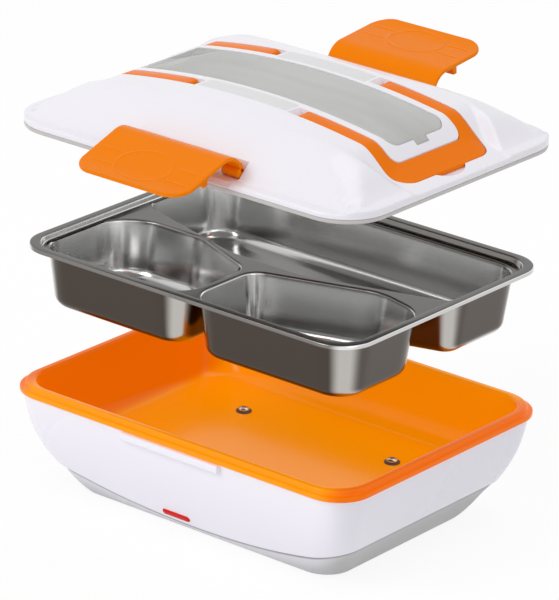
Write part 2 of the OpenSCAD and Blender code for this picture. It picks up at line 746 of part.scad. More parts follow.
// Hollow at the foot of the bulge where a clip is pinned, with the lid's edge eased under its shoulder
module clip_pocket() {
    translate([-clip_hw - 0.6, pocket_y, border_h]) cube([2 * clip_hw + 1.2, lid_w, crown_h]);
    translate([-clip_hw - 0.6, 0, 0]) rotate([90, 0, 90]) linear_extrude(2 * clip_hw + 1.2)
        polygon([[lid_w - 2.6, border_h + 0.2], [lid_w + 1, border_h + 0.2], [lid_w + 1, border_h - 3.4]]);
}
module knuckles() {
    for (x = lid_knuckles) {
        translate([x[0], axis_y, axis_z]) rotate([0, 90, 0]) cylinder(r = barrel_r, h = x[1] - x[0], $fn = 64);
        translate([x[0], axis_y - barrel_r, border_h - 0.5]) cube([x[1] - x[0], 2 * barrel_r, axis_z - border_h + 0.5]);
    }
}
module finger_scoop() {
    translate([bridge_x1 - 12.5, 0, handle_low - 0.2]) intersection() {
        cylinder(r = 18, h = 20, $fn = 96);
        translate([12, -30, 0]) cube([20, 60, 20]);
    }
}

// Opening for the spoon cover, with the tub below it and the hinge at its left end
module spoon_opening(spoon_y) {
    intersection() {
        translate([-cover_hl - cover_gap, -spoon_y, 0]) cube([2 * (cover_hl + cover_gap), 2 * spoon_y, big]);
        crown_band(-cover_t - 0.2, 20, -spoon_y, spoon_y);
    }
    intersection() {
        translate([cover_hl - 1, -tab_w / 2 - cover_gap, 0]) cube([tab_l + 1 + cover_gap, tab_w + 2 * cover_gap, big]);
        crown_band(-cover_t - 0.2, 20, -spoon_y, spoon_y);
    }
    translate([-cover_hl + 6, -cover_hw + 2, tub_floor]) cube([2 * cover_hl - 9, 2 * cover_hw - 4, big]);
    translate([cover_axis_x, 0, cover_axis_z]) rotate([90, 0, 0])
        cylinder(r = cover_barrel_r + cover_gap, h = 2 * spoon_y, center = true, $fn = 48);
    translate([cover_axis_x, 0, cover_axis_z]) rotate([90, 0, 0])
        cylinder(d = 1.6 + 2 * run_fit, h = 2 * spoon_y + 4, center = true, $fn = 32);
}

module lid_inner() {
    inset = plate_in + plate_gap;
    color("#c9c6c4") translate([0, 0, lid_lift + lid_z]) difference() {
        union() {
            round_ring(lid_l, lid_w, lid_r, lip_w, band_h);
            translate([0, 0, plate_top - 1.5]) round_plate(lid_l - inset, lid_w - inset, lid_r - inset, 1.5);
            translate([0, 0, band_h - 1]) round_ring(lid_l - inset, lid_w - inset, lid_r - inset, lip_w - inset, 1.5);
        }
        four(lid_screw_x, lid_screw_y) {
            translate([0, 0, -1]) cylinder(d = 3.2, h = 6, $fn = 32);
            translate([0, 0, plate_top - 1.5 - eps]) cylinder(d1 = 5.8, d2 = 3.4, h = 1.2, $fn = 32);
        }
    }
}
module lid_seal() {
    a = hl - tray_in;
    b = hw - tray_in + 1.5;
    color("#b7b4b0") translate([0, 0, lid_lift + lid_z + seal_z])
        round_ring(a, b, rim_r - 1, seal_w, seal_t);
}
module lid_screws() {
    color("#c9ccd0") translate([0, 0, lid_lift + lid_z + plate_top - 1.5]) four(lid_screw_x, lid_screw_y) {
        cylinder(d1 = 5.6, d2 = 3, h = 1.2, $fn = 32);
        translate([0, 0, 1]) cylinder(d = screw_d, h = 8, $fn = 32);
    }
}
module spoon_cover() {
    color("#bdbdb9", 0.6) translate([0, 0, lid_lift + lid_z]) {
        intersection() {
            union() {
                translate([cover_axis_x, -cover_hw, 0]) cube([cover_hl - cover_axis_x, 2 * cover_hw, big]);
                translate([cover_hl - 1, -tab_w / 2, 0]) cube([tab_l + 1, tab_w, big]);
            }
            crown_band(-cover_t, 0, -cover_hw, cover_hw);
        }
        translate([cover_axis_x, 0, cover_axis_z]) rotate([90, 0, 0]) {
            cylinder(r = cover_barrel_r, h = 2 * cover_hw, center = true, $fn = 48);
            cylinder(d = 1.6, h = 2 * cover_hw + 3, center = true, $fn = 32);
        }
    }
}

// One handle, drawn on the right side
module handle() {
    color("#f77a0c") translate([0, 0, lid_lift + lid_z]) difference() {
        union() {
            intersection() {
                handle_body(0, hinge_x, -handle_t, 0, handle_low);
                translate([hinge_x, -big / 2, 0]) cube(big);
            }
            for (y = [-1, 1]) translate([hinge_x, y * (handle_hw - arm_w / 2), hinge_z]) rotate([90, 0, 0])
                cylinder(d = handle_t, h = arm_w, center = true, $fn = 64);
        }
        translate([hinge_x, 0, hinge_z]) rotate([90, 0, 0])
            cylinder(d = handle_pin_d + 2 * run_fit, h = 3 * handle_hw, center = true, $fn = 48);
    }
}
module handle_right() {
    handle();
}
module handle_left() {
    rotate(180) handle();
}
module handle_pins() {
    color("#c9ccd0") translate([0, 0, lid_lift + lid_z])
        for (x = [-1, 1], y = [-1, 1]) translate([x * hinge_x, y * (handle_hw - arm_w / 2), hinge_z])
            rotate([90, 0, 0]) cylinder(d = handle_pin_d, h = arm_w + 2 * pin_reach - 0.4, center = true, $fn = 48);
}

// Points of an arc about a centre, from one angle to another in n steps
function arc(c, r, a0, a1, n) = [for (i = [0:n]) let (t = a0 + (a1 - a0) * i / n) c + r * [cos(t), sin(t)]];

// Section of a clip, latched: root, shoulder and plate with a flared tip
module clip_section() {
    top = barrel_r - root_drop;
    hub = [shoulder_y, top - shoulder_r];
    flare_hub = [plate_y + flare_r - clip_t, clip_low + flare_l];
    flare_in = asin(flare_l / flare_r);
    flare_out = asin(flare_l / (flare_r - clip_t));
    polygon(concat(
        [[0, top]],
        arc(hub, shoulder_r, 90, 0, 12),
        arc(flare_hub, flare_r - clip_t, 180, 180 + flare_out, 6),
        arc(flare_hub, flare_r, 180 + flare_in, 180, 6),
        arc(hub, shoulder_r - clip_t, 0, 90, 12),
        [[0, top - clip_t]]));
}
module hook_section() {
    y0 = plate_y - clip_t - hook_l;
    y1 = plate_y - clip_t / 2;
    polygon(concat([[y0, -hook_r - hook_t], [y1, -hook_r - hook_t]],
        arc([0, 0], hook_r, -acos(y1 / hook_r), -acos(y0 / hook_r), 6)));
}

// Outline of the clip plate seen from outside, with round lower corners
module clip_face() {
    polygon(concat([[clip_hw, 10], [-clip_hw, 10]],
        arc([tip_r - clip_hw, clip_low + tip_r], tip_r, 180, 270, 8),
        arc([clip_hw - tip_r, clip_low + tip_r], tip_r, 270, 360, 8)));
}
module clip_solid() {
    difference() {
        union() {
            intersection() {
                translate([-clip_hw - 1, 0, 0]) rotate([90, 0, 90]) linear_extrude(2 * clip_hw + 2) clip_section();
                translate([0, 40, 0]) rotate([90, 0, 0]) linear_extrude(80) clip_face();
            }
            translate([-catch_hw + 1, 0, 0]) rotate([90, 0, 90]) linear_extrude(2 * catch_hw - 2) hook_section();
            for (x = clip_barrels) translate([x[0], 0, 0]) rotate([0, 90, 0])
                cylinder(r = barrel_r, h = x[1] - x[0], $fn = 64);
        }
        rotate([0, 90, 0]) cylinder(d = clip_pin_d + 2 * run_fit, h = 3 * clip_hw, center = true, $fn = 48);
        for (x = lid_knuckles) translate([x[0] - knuckle_gap, -4, -4])
            cube([x[1] - x[0] + 2 * knuckle_gap, 4 + barrel_r + 0.8, 8]);
    }
}
module place_clip(open) {
    translate([0, axis_y, lid_lift + lid_z + axis_z]) rotate([open, 0, 0]) clip_solid();
}
module clip_back() {
    color("#f98a10") place_clip(clip_back_open);
}
module clip_front() {
    color("#f98a10") rotate(180) place_clip(clip_front_open);
}
module clip_pins() {
    color("#c9ccd0") translate([0, 0, lid_lift + lid_z]) for (s = [-1, 1]) translate([0, s * axis_y, axis_z])
        rotate([0, 90, 0]) cylinder(d = clip_pin_d, h = 2 * clip_hw - 2, center = true, $fn = 48);
}

outer_shell();
bottom_cover();
inner_liner();
heat_plate();
heater_element();
heater_clamp();
floor_screws();
floor_washers();
floor_nuts();
thermostat();
thermal_fuse();
fuse_strap();
indicator_lens();
indicator_led();
indicator_board();
inlet_socket();
inlet_pins();
lead_live();
lead_neutral();
lead_indicator();
rubber_feet();
cover_screws();
food_tray();
lid_shell();
lid_inner();
lid_seal();
lid_screws();
spoon_cover();
handle_left();
handle_right();
handle_pins();
clip_front();
clip_back();
clip_pins();
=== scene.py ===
# %% [markdown]
# # An electric lunch box, taken apart in three layers
# The box is a white base with an orange liner, a divided steel tray that lifts out of it, and a white
# domed lid with two folding handles, a clear spoon cover and two clips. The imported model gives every
# piece its place and its joints. This script keeps the hidden pieces as they are and dresses the
# pieces that show with smooth surfaces and finishes.

import math

import bmesh
import bpy
import numpy as np
from mathutils import Matrix, Vector
from mathutils.geometry import delaunay_2d_cdt


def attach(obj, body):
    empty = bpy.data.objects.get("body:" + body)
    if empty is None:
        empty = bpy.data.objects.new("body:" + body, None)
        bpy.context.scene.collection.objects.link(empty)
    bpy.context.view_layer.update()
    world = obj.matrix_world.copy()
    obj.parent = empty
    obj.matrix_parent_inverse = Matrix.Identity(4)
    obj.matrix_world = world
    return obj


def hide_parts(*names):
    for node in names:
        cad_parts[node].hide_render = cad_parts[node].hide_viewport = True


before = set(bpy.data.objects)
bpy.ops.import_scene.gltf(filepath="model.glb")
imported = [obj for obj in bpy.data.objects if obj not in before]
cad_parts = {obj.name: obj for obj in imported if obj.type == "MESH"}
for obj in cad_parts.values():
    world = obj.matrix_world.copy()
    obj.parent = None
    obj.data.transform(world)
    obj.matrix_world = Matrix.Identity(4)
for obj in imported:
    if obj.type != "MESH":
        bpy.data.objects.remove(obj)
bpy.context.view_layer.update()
MM = 0.001
SEAM_LOW, SEAM_R = 5.5, 333

# %% [markdown]
# ## The camera
# The photograph looks along the box from its front right, a little from above. A long lens far away
# keeps the layers' edges nearly parallel, as they are in the picture, and a slight roll matches its
# horizon. A camera in Blender looks along its own -Z, so its three axes are worked out from the
# direction to the viewer and written as the columns of its matrix.

# %% The camera
def viewpoint(azimuth, elevation, roll, distance, target):
    a, e, r = (math.radians(v) for v in (azimuth, elevation, roll))
    back = Vector((math.sin(a) * math.cos(e), -math.cos(a) * math.cos(e), math.sin(e)))
    right = Vector((math.cos(a), math.sin(a), 0))
    up = back.cross(right)
    x_axis = right * math.cos(r) + up * math.sin(r)
    y_axis = up * math.cos(r) - right * math.sin(r)
    turn = Matrix((x_axis, y_axis, back)).transposed().to_4x4()
    return Matrix.Translation(Vector(target) + back * distance) @ turn


camera_data = bpy.data.cameras.new("viewer")
camera = bpy.data.objects.new("viewer", camera_data)
bpy.context.scene.collection.objects.link(camera)
camera.matrix_world = viewpoint(azimuth=37.992, elevation=21.356, roll=2.171, distance=2.4,
                                target=(0, 0, 0.118336))
SENSOR, FOCAL_PIXELS, PICTURE_HEIGHT = 36, 4432.58, 600
camera_data.sensor_fit = "VERTICAL"
camera_data.sensor_height = SENSOR
camera_data.lens = SENSOR * FOCAL_PIXELS / PICTURE_HEIGHT
camera_data.clip_end = 20
bpy.context.scene.camera = camera
print("lens:", round(camera_data.lens, 1), "mm")

# %% [markdown]
# ## Shader maths
# Finishes are small sums on node sockets. Writing each Math node by hand hides the sum, so one class
# wraps a socket and turns Python's operators into Math nodes. Every other node comes from one method,
# which sets the node's settings first and then the values or links of its sockets.

# %% A socket that takes part in sums
class Sum:
    def __init__(self, finish, socket):
        self.finish = finish
        self.socket = socket

    def _math(self, operation, *values):
        return self.finish.node("ShaderNodeMath", {"operation": operation}, *values)

    def __add__(self, other):
        return self._math("ADD", self, other)

    def __sub__(self, other):
        return self._math("SUBTRACT", self, other)

    def __mul__(self, other):
        return self._math("MULTIPLY", self, other)

    def __rsub__(self, other):
        return self._math("SUBTRACT", other, self)

    def __abs__(self):
        return self._math("ABSOLUTE", self)

    def root(self):
        return self._math("SQRT", self)

    def most(self, other):
        return self._math("MAXIMUM", self, other)

    def ease(self, low, high):
        """0 below low, 1 above high, and a smooth ramp between them."""
        return self.finish.node("ShaderNodeMapRange", {"interpolation_type": "SMOOTHSTEP"},
                                Value=self, **{"From Min": low, "From Max": high})


# %% A finish: one material and its nodes
class Finish:
    def __init__(self, name):
        self.material = bpy.data.materials.new(name)
        self.material.use_nodes = True
        self.tree = self.material.node_tree
        self.tree.nodes.clear()
        self.output = self.tree.nodes.new("ShaderNodeOutputMaterial")

    def node(self, kind, settings=None, *values, output=0, **named):
        made = self.tree.nodes.new(kind)
        for key, value in (settings or {}).items():
            setattr(made, key, value)
        pairs = list(enumerate(values)) + list(named.items())
        for key, value in pairs:
            socket = made.inputs[key]
            if isinstance(value, Sum):
                self.tree.links.new(value.socket, socket)
            else:
                socket.default_value = value
        return Sum(self, made.outputs[output])

    def place(self):
        """Where a point is on the piece, in metres in the row frame."""
        return self.node("ShaderNodeTexCoord", output="Object")

    def parts(self, vector):
        split = self.node("ShaderNodeSeparateXYZ", None, vector)
        outputs = split.socket.node.outputs
        return [Sum(self, outputs[k]) for k in range(3)]

    def facing(self):
        """The way the surface looks, in the piece's own axes: three sums."""
        return self.parts(self.node("ShaderNodeTexCoord", output="Normal"))

    def noise(self, scale, detail=2.0, stretch=None):
        at = self.place()
        if stretch:
            at = self.node("ShaderNodeMapping", None, at, Scale=stretch)
        return self.node("ShaderNodeTexNoise", None, Vector=at, Scale=scale, Detail=detail,
                         Roughness=0.5, output=0)

    def blend(self, factor, first, second):
        made = self.tree.nodes.new("ShaderNodeMix")
        made.data_type = "RGBA"
        for socket, value in zip((made.inputs[0], made.inputs[6], made.inputs[7]), (factor, first, second)):
            if isinstance(value, Sum):
                self.tree.links.new(value.socket, socket)
            elif socket == made.inputs[0]:
                socket.default_value = value
            else:
                socket.default_value = (*value, 1)
        return Sum(self, made.outputs[2])

    def bump(self, height, strength, distance):
        return self.node("ShaderNodeBump", None, Strength=strength, Distance=distance, Height=height)

    def surface(self, **sockets):
        made = self.node("ShaderNodeBsdfPrincipled")
        principled = made.socket.node
        for key, value in sockets.items():
            socket = principled.inputs[key.replace("_", " ")]
            if isinstance(value, Sum):
                self.tree.links.new(value.socket, socket)
            elif isinstance(value, tuple):
                socket.default_value = (*value, 1)
            else:
                socket.default_value = value
        self.tree.links.new(principled.outputs[0], self.output.inputs[0])
        return self.material


print("shader maths ready")

# %% [markdown]
# ## Light, background and floor
# The picture is a cut-out on white, lit softly from the front. Three large lamps give soft edges, and
# the world is plain grey for the light it sheds but white for what the camera and the gloss see.
# The floor does the same: it is white to the eye, with a faint shadow under the base.

# %% The world and the lamps
SEEN = ("Is Camera Ray", "Is Glossy Ray", "Is Transmission Ray")


def seen_directly(tree):
    """1 for rays from the camera, from gloss and through glass, and 0 for light that is shed."""
    path = tree.nodes.new("ShaderNodeLightPath")
    total = path.outputs[SEEN[0]]
    for name in SEEN[1:]:
        either = tree.nodes.new("ShaderNodeMath")
        either.operation = "MAXIMUM"
        tree.links.new(total, either.inputs[0])
        tree.links.new(path.outputs[name], either.inputs[1])
        total = either.outputs[0]
    return total


world = bpy.data.worlds.new("studio")
bpy.context.scene.world = world
world.use_nodes = True
sky = world.node_tree
sky.nodes.clear()
strength = sky.nodes.new("ShaderNodeMapRange")
strength.inputs["To Min"].default_value = 0.60
strength.inputs["To Max"].default_value = 1.0
sky.links.new(seen_directly(sky), strength.inputs["Value"])
background = sky.nodes.new("ShaderNodeBackground")
background.inputs["Color"].default_value = (1, 1, 1, 1)
sky.links.new(strength.outputs[0], background.inputs["Strength"])
sky_out = sky.nodes.new("ShaderNodeOutputWorld")
sky.links.new(background.outputs[0], sky_out.inputs[0])


def lamp(name, place, aim, size, power):
    data = bpy.data.lights.new(name, "AREA")
    data.shape = "RECTANGLE"
    data.size, data.size_y = size
    data.energy = power
    made = bpy.data.objects.new(name, data)
    bpy.context.scene.collection.objects.link(made)
    made.location = place
    made.rotation_euler = (Vector(aim) - Vector(place)).to_track_quat("-Z", "Y").to_euler()
    return made


lamp("key", (-0.55, -1.5, 1.25), (0, 0, 0.12), (0.9, 0.9), 11.5)
lamp("fill", (1.5, -0.5, 0.7), (0, 0, 0.1), (0.8, 1.0), 2.0)
lamp("top", (0.1, 0.5, 1.6), (0, 0, 0.15), (1.1, 0.9), 4.0)
bpy.context.scene.view_settings.view_transform = "Standard"

# %% [markdown]
# ## The floor
# A large pale sheet under the feet. Where it is seen directly it shines white, so it melts into the
# background; for the light it sheds it is a plain pale surface.

# %% The floor
floor_mesh = bpy.data.meshes.new("floor")
floor_mesh.from_pydata([(-3, -3, 0), (3, -3, 0), (3, 3, 0), (-3, 3, 0)], [], [(0, 1, 2, 3)])
floor = bpy.data.objects.new("floor", floor_mesh)
bpy.context.scene.collection.objects.link(floor)
pale = Finish("pale_floor")
diffuse = pale.node("ShaderNodeBsdfDiffuse", None, Color=(0.92, 0.92, 0.92, 1))
glow = pale.node("ShaderNodeEmission", None, Color=(1, 1, 1, 1), Strength=1.03)
share = Sum(pale, seen_directly(pale.tree)) * 0.86
both = pale.node("ShaderNodeMixShader", None, share, diffuse, glow)
pale.tree.links.new(both.socket, pale.output.inputs[0])
floor.data.materials.append(pale.material)
print("floor laid")

# %% [markdown]
# ## Finishes
# Glossy moulded plastic isn't one flat colour: its sheen wavers a little where the tool was polished
# by hand, so a broad soft noise moves the roughness and a fine one the height. The steel has faint
# lines from rolling. All of them read the piece's own coordinates, so they stay put from any side.

# %% Plastics
def moulded(name, colour, rough=0.28, shade=0.04, coat=0.2, grain=0.0, sheen=0.5, glow=(0, 0, 0),
            scale=28, detail=3, end_shade=1.0):
    """Plastic with a wavering sheen. A factor below 1 darkens the faces that look along the box, as painted
    shade; glow is a faint painted light.
    """
    finish = Finish(name)
    broad = finish.noise(scale, detail)
    darker = tuple(c * (1 - shade) for c in colour)
    tint = finish.blend(broad, darker, colour)
    # The end faces darkened here are painted shade.
    if end_shade < 1:
        tint = finish.blend(abs(finish.facing()[0]).ease(0.35, 0.9), tint, tuple(c * end_shade for c in colour))
    # Emission_Color takes the glow, a faint painted light.
    sockets = dict(Base_Color=tint, Roughness=broad * 0.08 + (rough - 0.04), IOR=1.48, Coat_Weight=coat,
                   Coat_Roughness=0.12, Specular_IOR_Level=sheen, Emission_Color=glow, Emission_Strength=1.0)
    if grain:
        sockets["Normal"] = finish.bump(finish.noise(900, 2), grain, 0.0002)
    return finish.surface(**sockets)


calm = dict(shade=0.0, scale=7, detail=0)
# The shell's glow is a faint painted light, and its darker end faces are painted shade.
white_gloss = moulded("white_shell", (0.915, 0.895, 0.955), glow=(0.05, 0.05, 0.07), end_shade=0.86, **calm)
lid_white = moulded("white_lid", (0.87, 0.855, 0.91), **calm)
# Painted shade: the grey of the crown's top faces between the handles.
crown_shade_grey = moulded("crown_shade_panel", (0.74, 0.74, 0.75), rough=0.34)
lid_grey = moulded("lid_grey", (0.58, 0.56, 0.545), rough=0.38, coat=0.1)
# The glow of the orange handles and clips is a faint painted light.
bright = dict(rough=0.26, coat=0.0, sheen=0.06, glow=(0.06, 0.01, 0))
handle_orange = moulded("orange_handle", (0.86, 0.19, 0.0), **bright)
clip_orange = moulded("orange_clip", (0.86, 0.215, 0.0), **bright)
lens_red = moulded("red_lens", (0.72, 0.025, 0.02), rough=0.2, coat=0.0, sheen=0.05)
black_plastic = moulded("black_plastic", (0.02, 0.02, 0.022), rough=0.45, grain=0.1)
washer_grey = moulded("washer_grey", (0.09, 0.09, 0.10), rough=0.5, coat=0.0, grain=0.1)
print("materials so far:", len(bpy.data.materials))

# %% [markdown]
# ## Painted shade on two plastics
# Two plastics carry painted shade that changes over the piece. The bottom cover has a painted shadow right
# under the seam, is darker towards the bottom and greyer on its end faces; the liner's flange is a deeper
# orange at either end, and so is the left end wall, all painted shade. Each tone is a ramp over the place of
# a point or over the way its surface looks.

# %% The bottom cover's grey and the liner's orange
def cover_grey():
    """Paler on the front, with painted shade: greyer on the end faces, darker towards the bottom, and a dark
    painted shadow right under the seam.
    """
    finish = Finish("grey_cover")
    x, _, z = finish.parts(finish.place())
    seam = (SEAM_LOW + SEAM_R) * MM - ((SEAM_R * MM) ** 2 - x * x).root()
    # groove is a painted shadow under the shell's overhang; low makes the cover darker towards the bottom,
    # as painted shade.
    groove = (z - seam).ease(-0.0022, -0.0008)
    low = (z - seam).ease(-0.012, -0.002)
    tone = finish.blend(low, (0.60, 0.595, 0.63), (0.80, 0.795, 0.83))
    # Greyer on the end faces: painted shade.
    tone = finish.blend(abs(finish.facing()[0]).ease(0.25, 0.8), tone, (0.50, 0.50, 0.50))
    tone = finish.blend(groove, tone, (0.36, 0.35, 0.385))
    broad = finish.noise(7, 0)
    return finish.surface(Base_Color=tone, Roughness=broad * 0.08 + 0.38, IOR=1.48, Coat_Weight=0.05,
                          Normal=finish.bump(finish.noise(900, 2), 0.08, 0.0002))


def liner_colour():
    """Amber, with painted shade: a deeper orange on the flange at either end and on the left end wall, and a
    painted glow that lifts the shade.
    """
    finish = Finish("orange_liner")
    x, _, z = finish.parts(finish.place())
    # The flange at either end and the left end wall are darker as painted shade; the glow below is painted
    # light.
    end_shade = abs(x).ease(0.098, 0.113) * z.ease(0.0585, 0.0595)
    liner_shade = end_shade.most(finish.facing()[0].ease(0.3, 0.9) * x.ease(0.0, -0.01))
    broad = finish.noise(28, 3)
    tone = finish.blend(liner_shade, (0.72, 0.21, 0.0), (0.46, 0.085, 0.0))
    glow = finish.blend(liner_shade, (0.45, 0.15, 0.0), (0.50, 0.09, 0.0))
    return finish.surface(Base_Color=tone, Roughness=broad * 0.08 + 0.16, IOR=1.48,
                          Coat_Weight=(1 - liner_shade) * 0.1, Coat_Roughness=0.12, Specular_IOR_Level=0.15,
                          Emission_Color=glow, Emission_Strength=1.0)


# The second tone of both these plastics is painted shade, not a second colour.
grey_matt = cover_grey()
liner_orange = liner_colour()
print("two-tone plastics:", grey_matt.name, liner_orange.name)

# %% [markdown]
# ## Clear plastic
# The spoon cover is smoked and slightly cloudy. It is part see-through by its alpha, and the cloud
# moves tint, roughness and alpha together.

# %% Clear smoked plastic
def smoked():
    finish = Finish("smoked_clear")
    x = finish.parts(finish.place())[0]
    cloud = finish.noise(16, 2, stretch=(0.5, 2.2, 1))
    tint = finish.blend(cloud.ease(0.35, 0.65), (0.60, 0.60, 0.575), (0.70, 0.70, 0.68))
    # Darker towards the left end of the cover: painted shade.
    tint = finish.blend(x.ease(-0.09, 0.02), (0.50, 0.505, 0.47), tint)
    return finish.surface(Base_Color=tint, Roughness=cloud * 0.06 + 0.14, IOR=1.49,
                          Alpha=cloud * 0.1 + 0.56, Coat_Weight=0.5, Coat_Roughness=0.05)


smoked_clear = smoked()
print("clear plastic ready:", smoked_clear.name)

# %% [markdown]
# ## Metals
# Small metal parts take one colour with faint drawn lines. The tray's steel has painted reflections in place
# of a room
# to mirror: each way it faces gets its own tone, walls, round corners with a bright painted highlight, end
# walls and flat parts, and the rim and deck take their own by height. Its underside is a second material
# with darker painted reflections, because the picture shows it much darker.

# %% Metals
def metal(name, colour, rough, lines):
    finish = Finish(name)
    broad = finish.noise(18, 2)
    drawn = finish.noise(160, 3, stretch=(1, 1, 40))
    darker = tuple(c * 0.86 for c in colour)
    return finish.surface(Base_Color=finish.blend(broad, darker, colour), Metallic=1.0,
                          Roughness=broad * 0.06 + drawn * lines + rough,
                          Normal=finish.bump(drawn, 0.05, 0.0002))


def tray_metal(name, deck, flat, wall, corner, end):
    """Polished steel with painted reflections: each way it faces, and the rim and deck by their height, has
    its own tone.
    """
    finish = Finish(name)
    height = finish.parts(finish.place())[2]
    raised = height.ease(0.1396, 0.1412)
    flat = finish.blend(raised, flat, deck)
    wall = finish.blend(raised, wall, tuple(2.2 * c for c in deck))
    x, _, z = finish.facing()
    broad = finish.noise(14, 2)
    across = abs(x) + (broad - 0.5) * 0.16
    tone = finish.blend(across.ease(0.30, 0.62), wall, corner)
    tone = finish.blend(across.ease(0.78, 0.97), tone, end)
    tone = finish.blend(abs(z).ease(0.75, 0.97), tone, flat)
    drawn = finish.noise(160, 3, stretch=(1, 1, 40))
    return finish.surface(Base_Color=tone, Metallic=1.0, Roughness=drawn * 0.05 + 0.14,
                          Normal=finish.bump(drawn, 0.05, 0.0002))


# Painted reflections on the tray's steel, above and below.
steel_above = tray_metal("tray_steel", deck=(0.10, 0.095, 0.09), flat=(0.34, 0.335, 0.33),
                         wall=(0.56, 0.56, 0.555), corner=(0.80, 0.80, 0.80), end=(0.60, 0.60, 0.595))
steel_below = tray_metal("tray_steel_below", deck=(0.2, 0.19, 0.18), flat=(0.2, 0.19, 0.18),
                         wall=(0.075, 0.06, 0.05), corner=(0.50, 0.48, 0.45), end=(0.10, 0.085, 0.075))
bright_steel = metal("bright_steel", (0.62, 0.62, 0.63), 0.2, 0.05)
clamp_steel = metal("clamp_steel", (0.45, 0.46, 0.48), 0.35, 0.1)
spreader = metal("aluminium", (0.62, 0.63, 0.65), 0.4, 0.1)
brass = metal("brass_pins", (0.66, 0.48, 0.16), 0.25, 0.05)
print("materials so far:", len(bpy.data.materials))

# %% [markdown]
# ## Pieces that stay as drawn
# The heater, the wiring, the feet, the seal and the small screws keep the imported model's own mesh.
# Each only gets a finish here, by the name of its node.

# %% The hidden pieces' finishes
def dull(name, colour, rough=0.6):
    return moulded(name, colour, rough=rough, shade=0.12, coat=0.0, grain=0.15)


HIDDEN = {
    "heat_plate": spreader,
    "heater_element": dull("mica", (0.50, 0.40, 0.24)),
    "heater_clamp": clamp_steel,
    "floor_nuts": bright_steel,
    "thermostat": black_plastic,
    "thermal_fuse": dull("ceramic", (0.75, 0.72, 0.62)),
    "fuse_strap": clamp_steel,
    "indicator_led": dull("red_led", (0.9, 0.12, 0.06), 0.2),
    "indicator_board": dull("board", (0.03, 0.16, 0.06)),
    "inlet_socket": black_plastic,
    "inlet_pins": brass,
    "lead_live": dull("brown_lead", (0.16, 0.05, 0.02)),
    "lead_neutral": dull("blue_lead", (0.02, 0.08, 0.34)),
    "lead_indicator": dull("red_lead", (0.45, 0.03, 0.02)),
    "rubber_feet": dull("dark_rubber", (0.04, 0.04, 0.045), 0.8),
    "cover_screws": bright_steel,
    "lid_seal": dull("seal_silicone", (0.48, 0.46, 0.44), 0.7),
    "lid_screws": bright_steel,
    "handle_pins": bright_steel,
    "clip_pins": bright_steel,
}


def paint(node, material):
    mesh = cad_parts[node].data
    for k in range(max(1, len(mesh.materials))):
        if k < len(mesh.materials):
            mesh.materials[k] = material
        else:
            mesh.materials.append(material)


for node, material in HIDDEN.items():
    paint(node, material)
print("painted:", len(HIDDEN), "nodes")

# %% [markdown]
# ## Shapes from rings
# Most pieces are lofts: rings of points stacked from one edge to the other and joined by quads. The
# base's rings all come from one rounded rectangle and the direction in which each of its points moves
# when the wall stands further in, so a wall can follow the curved seam. The numbers are millimetres,
# the same as in the drawing of the part.

# %% Rings, outlines and lofts
RIM_L, RIM_W, RIM_R = 118.0, 90.5, 21.0
SHELL_TOP, SHELL_T = 59.5, 2.4
COVER_LOW, COVER_FLOOR, COVER_IN, COVER_INSIDE = 1.2, 3.4, 0.8, 3.2
CATCH_HALF, CATCH_Y, CATCH_Z = 34, (86.5, 92.0), (54.5, 59.0)
WALL = [(1.2, 27.5), (3.2, 25.6), (8, 22), (16, 17), (22, 12.8), (30, 8.7), (40, 5), (50, 2.8), (59.5, 1.5)]


def smooth_line(points):
    """A smooth curve y(x) through the points."""
    xs, ys = np.array(points, float).T
    step = np.diff(xs)
    rise = np.diff(ys) / step
    inner = (rise[:-1] * step[1:] + rise[1:] * step[:-1]) / (step[:-1] + step[1:])
    slope = np.concatenate([rise[:1], inner, rise[-1:]])

    def at(x):
        x = np.asarray(x, float)
        k = np.clip(np.searchsorted(xs, x) - 1, 0, len(step) - 1)
        t = np.clip((x - xs[k]) / step[k], 0, 1)
        u = 1 - t
        return ((1 + 2 * t) * u * u * ys[k] + t * u * u * step[k] * slope[k]
                + t * t * (3 - 2 * t) * ys[k + 1] - t * t * u * step[k] * slope[k + 1])
    return at


def bent_line(points, reach=0.45, steps=4):
    """The points joined by straight lines with every corner eased; reach is a share of the nearer side."""
    p = np.array(points, float)
    reaches = np.broadcast_to(reach, len(p))
    out = [p[0]]
    for k in range(1, len(p) - 1):
        back, on = p[k - 1] - p[k], p[k + 1] - p[k]
        short = min(np.linalg.norm(back), np.linalg.norm(on)) * reaches[k]
        a, b = p[k] + back / np.linalg.norm(back) * short, p[k] + on / np.linalg.norm(on) * short
        for t in np.linspace(0, 1, steps + 1):
            out.append((1 - t) ** 2 * a + 2 * t * (1 - t) * p[k] + t * t * b)
    return np.array(out + [p[-1]])


def round_rect(a, b, r, n=16, side=30):
    arcs = []
    for k, (sx, sy) in enumerate(((1, 1), (-1, 1), (-1, -1), (1, -1))):
        t = np.radians(np.linspace(0, 90, n + 1) + 90 * k)
        arcs.append(np.stack([sx * (a - r) + r * np.cos(t), sy * (b - r) + r * np.sin(t)], 1))
    ring = []
    for k in range(4):
        start, end = arcs[k][-1], arcs[(k + 1) % 4][0]
        share = np.linspace(0, 1, side + 2)[1:-1, None]
        ring += [arcs[k], start + (end - start) * share]
    return np.concatenate(ring)


def level(outline, z):
    return np.column_stack([outline, np.broadcast_to(z, len(outline))])


RIM = round_rect(RIM_L, RIM_W, RIM_R)
INWARD = round_rect(RIM_L - 1, RIM_W - 1, RIM_R - 0.18) - RIM
wall_at = smooth_line(WALL)


def base_ring(inset, z):
    """A ring of the base; inset and height may differ from point to point."""
    inset = np.broadcast_to(inset, len(RIM))
    return level(RIM + INWARD * inset[:, None], z)


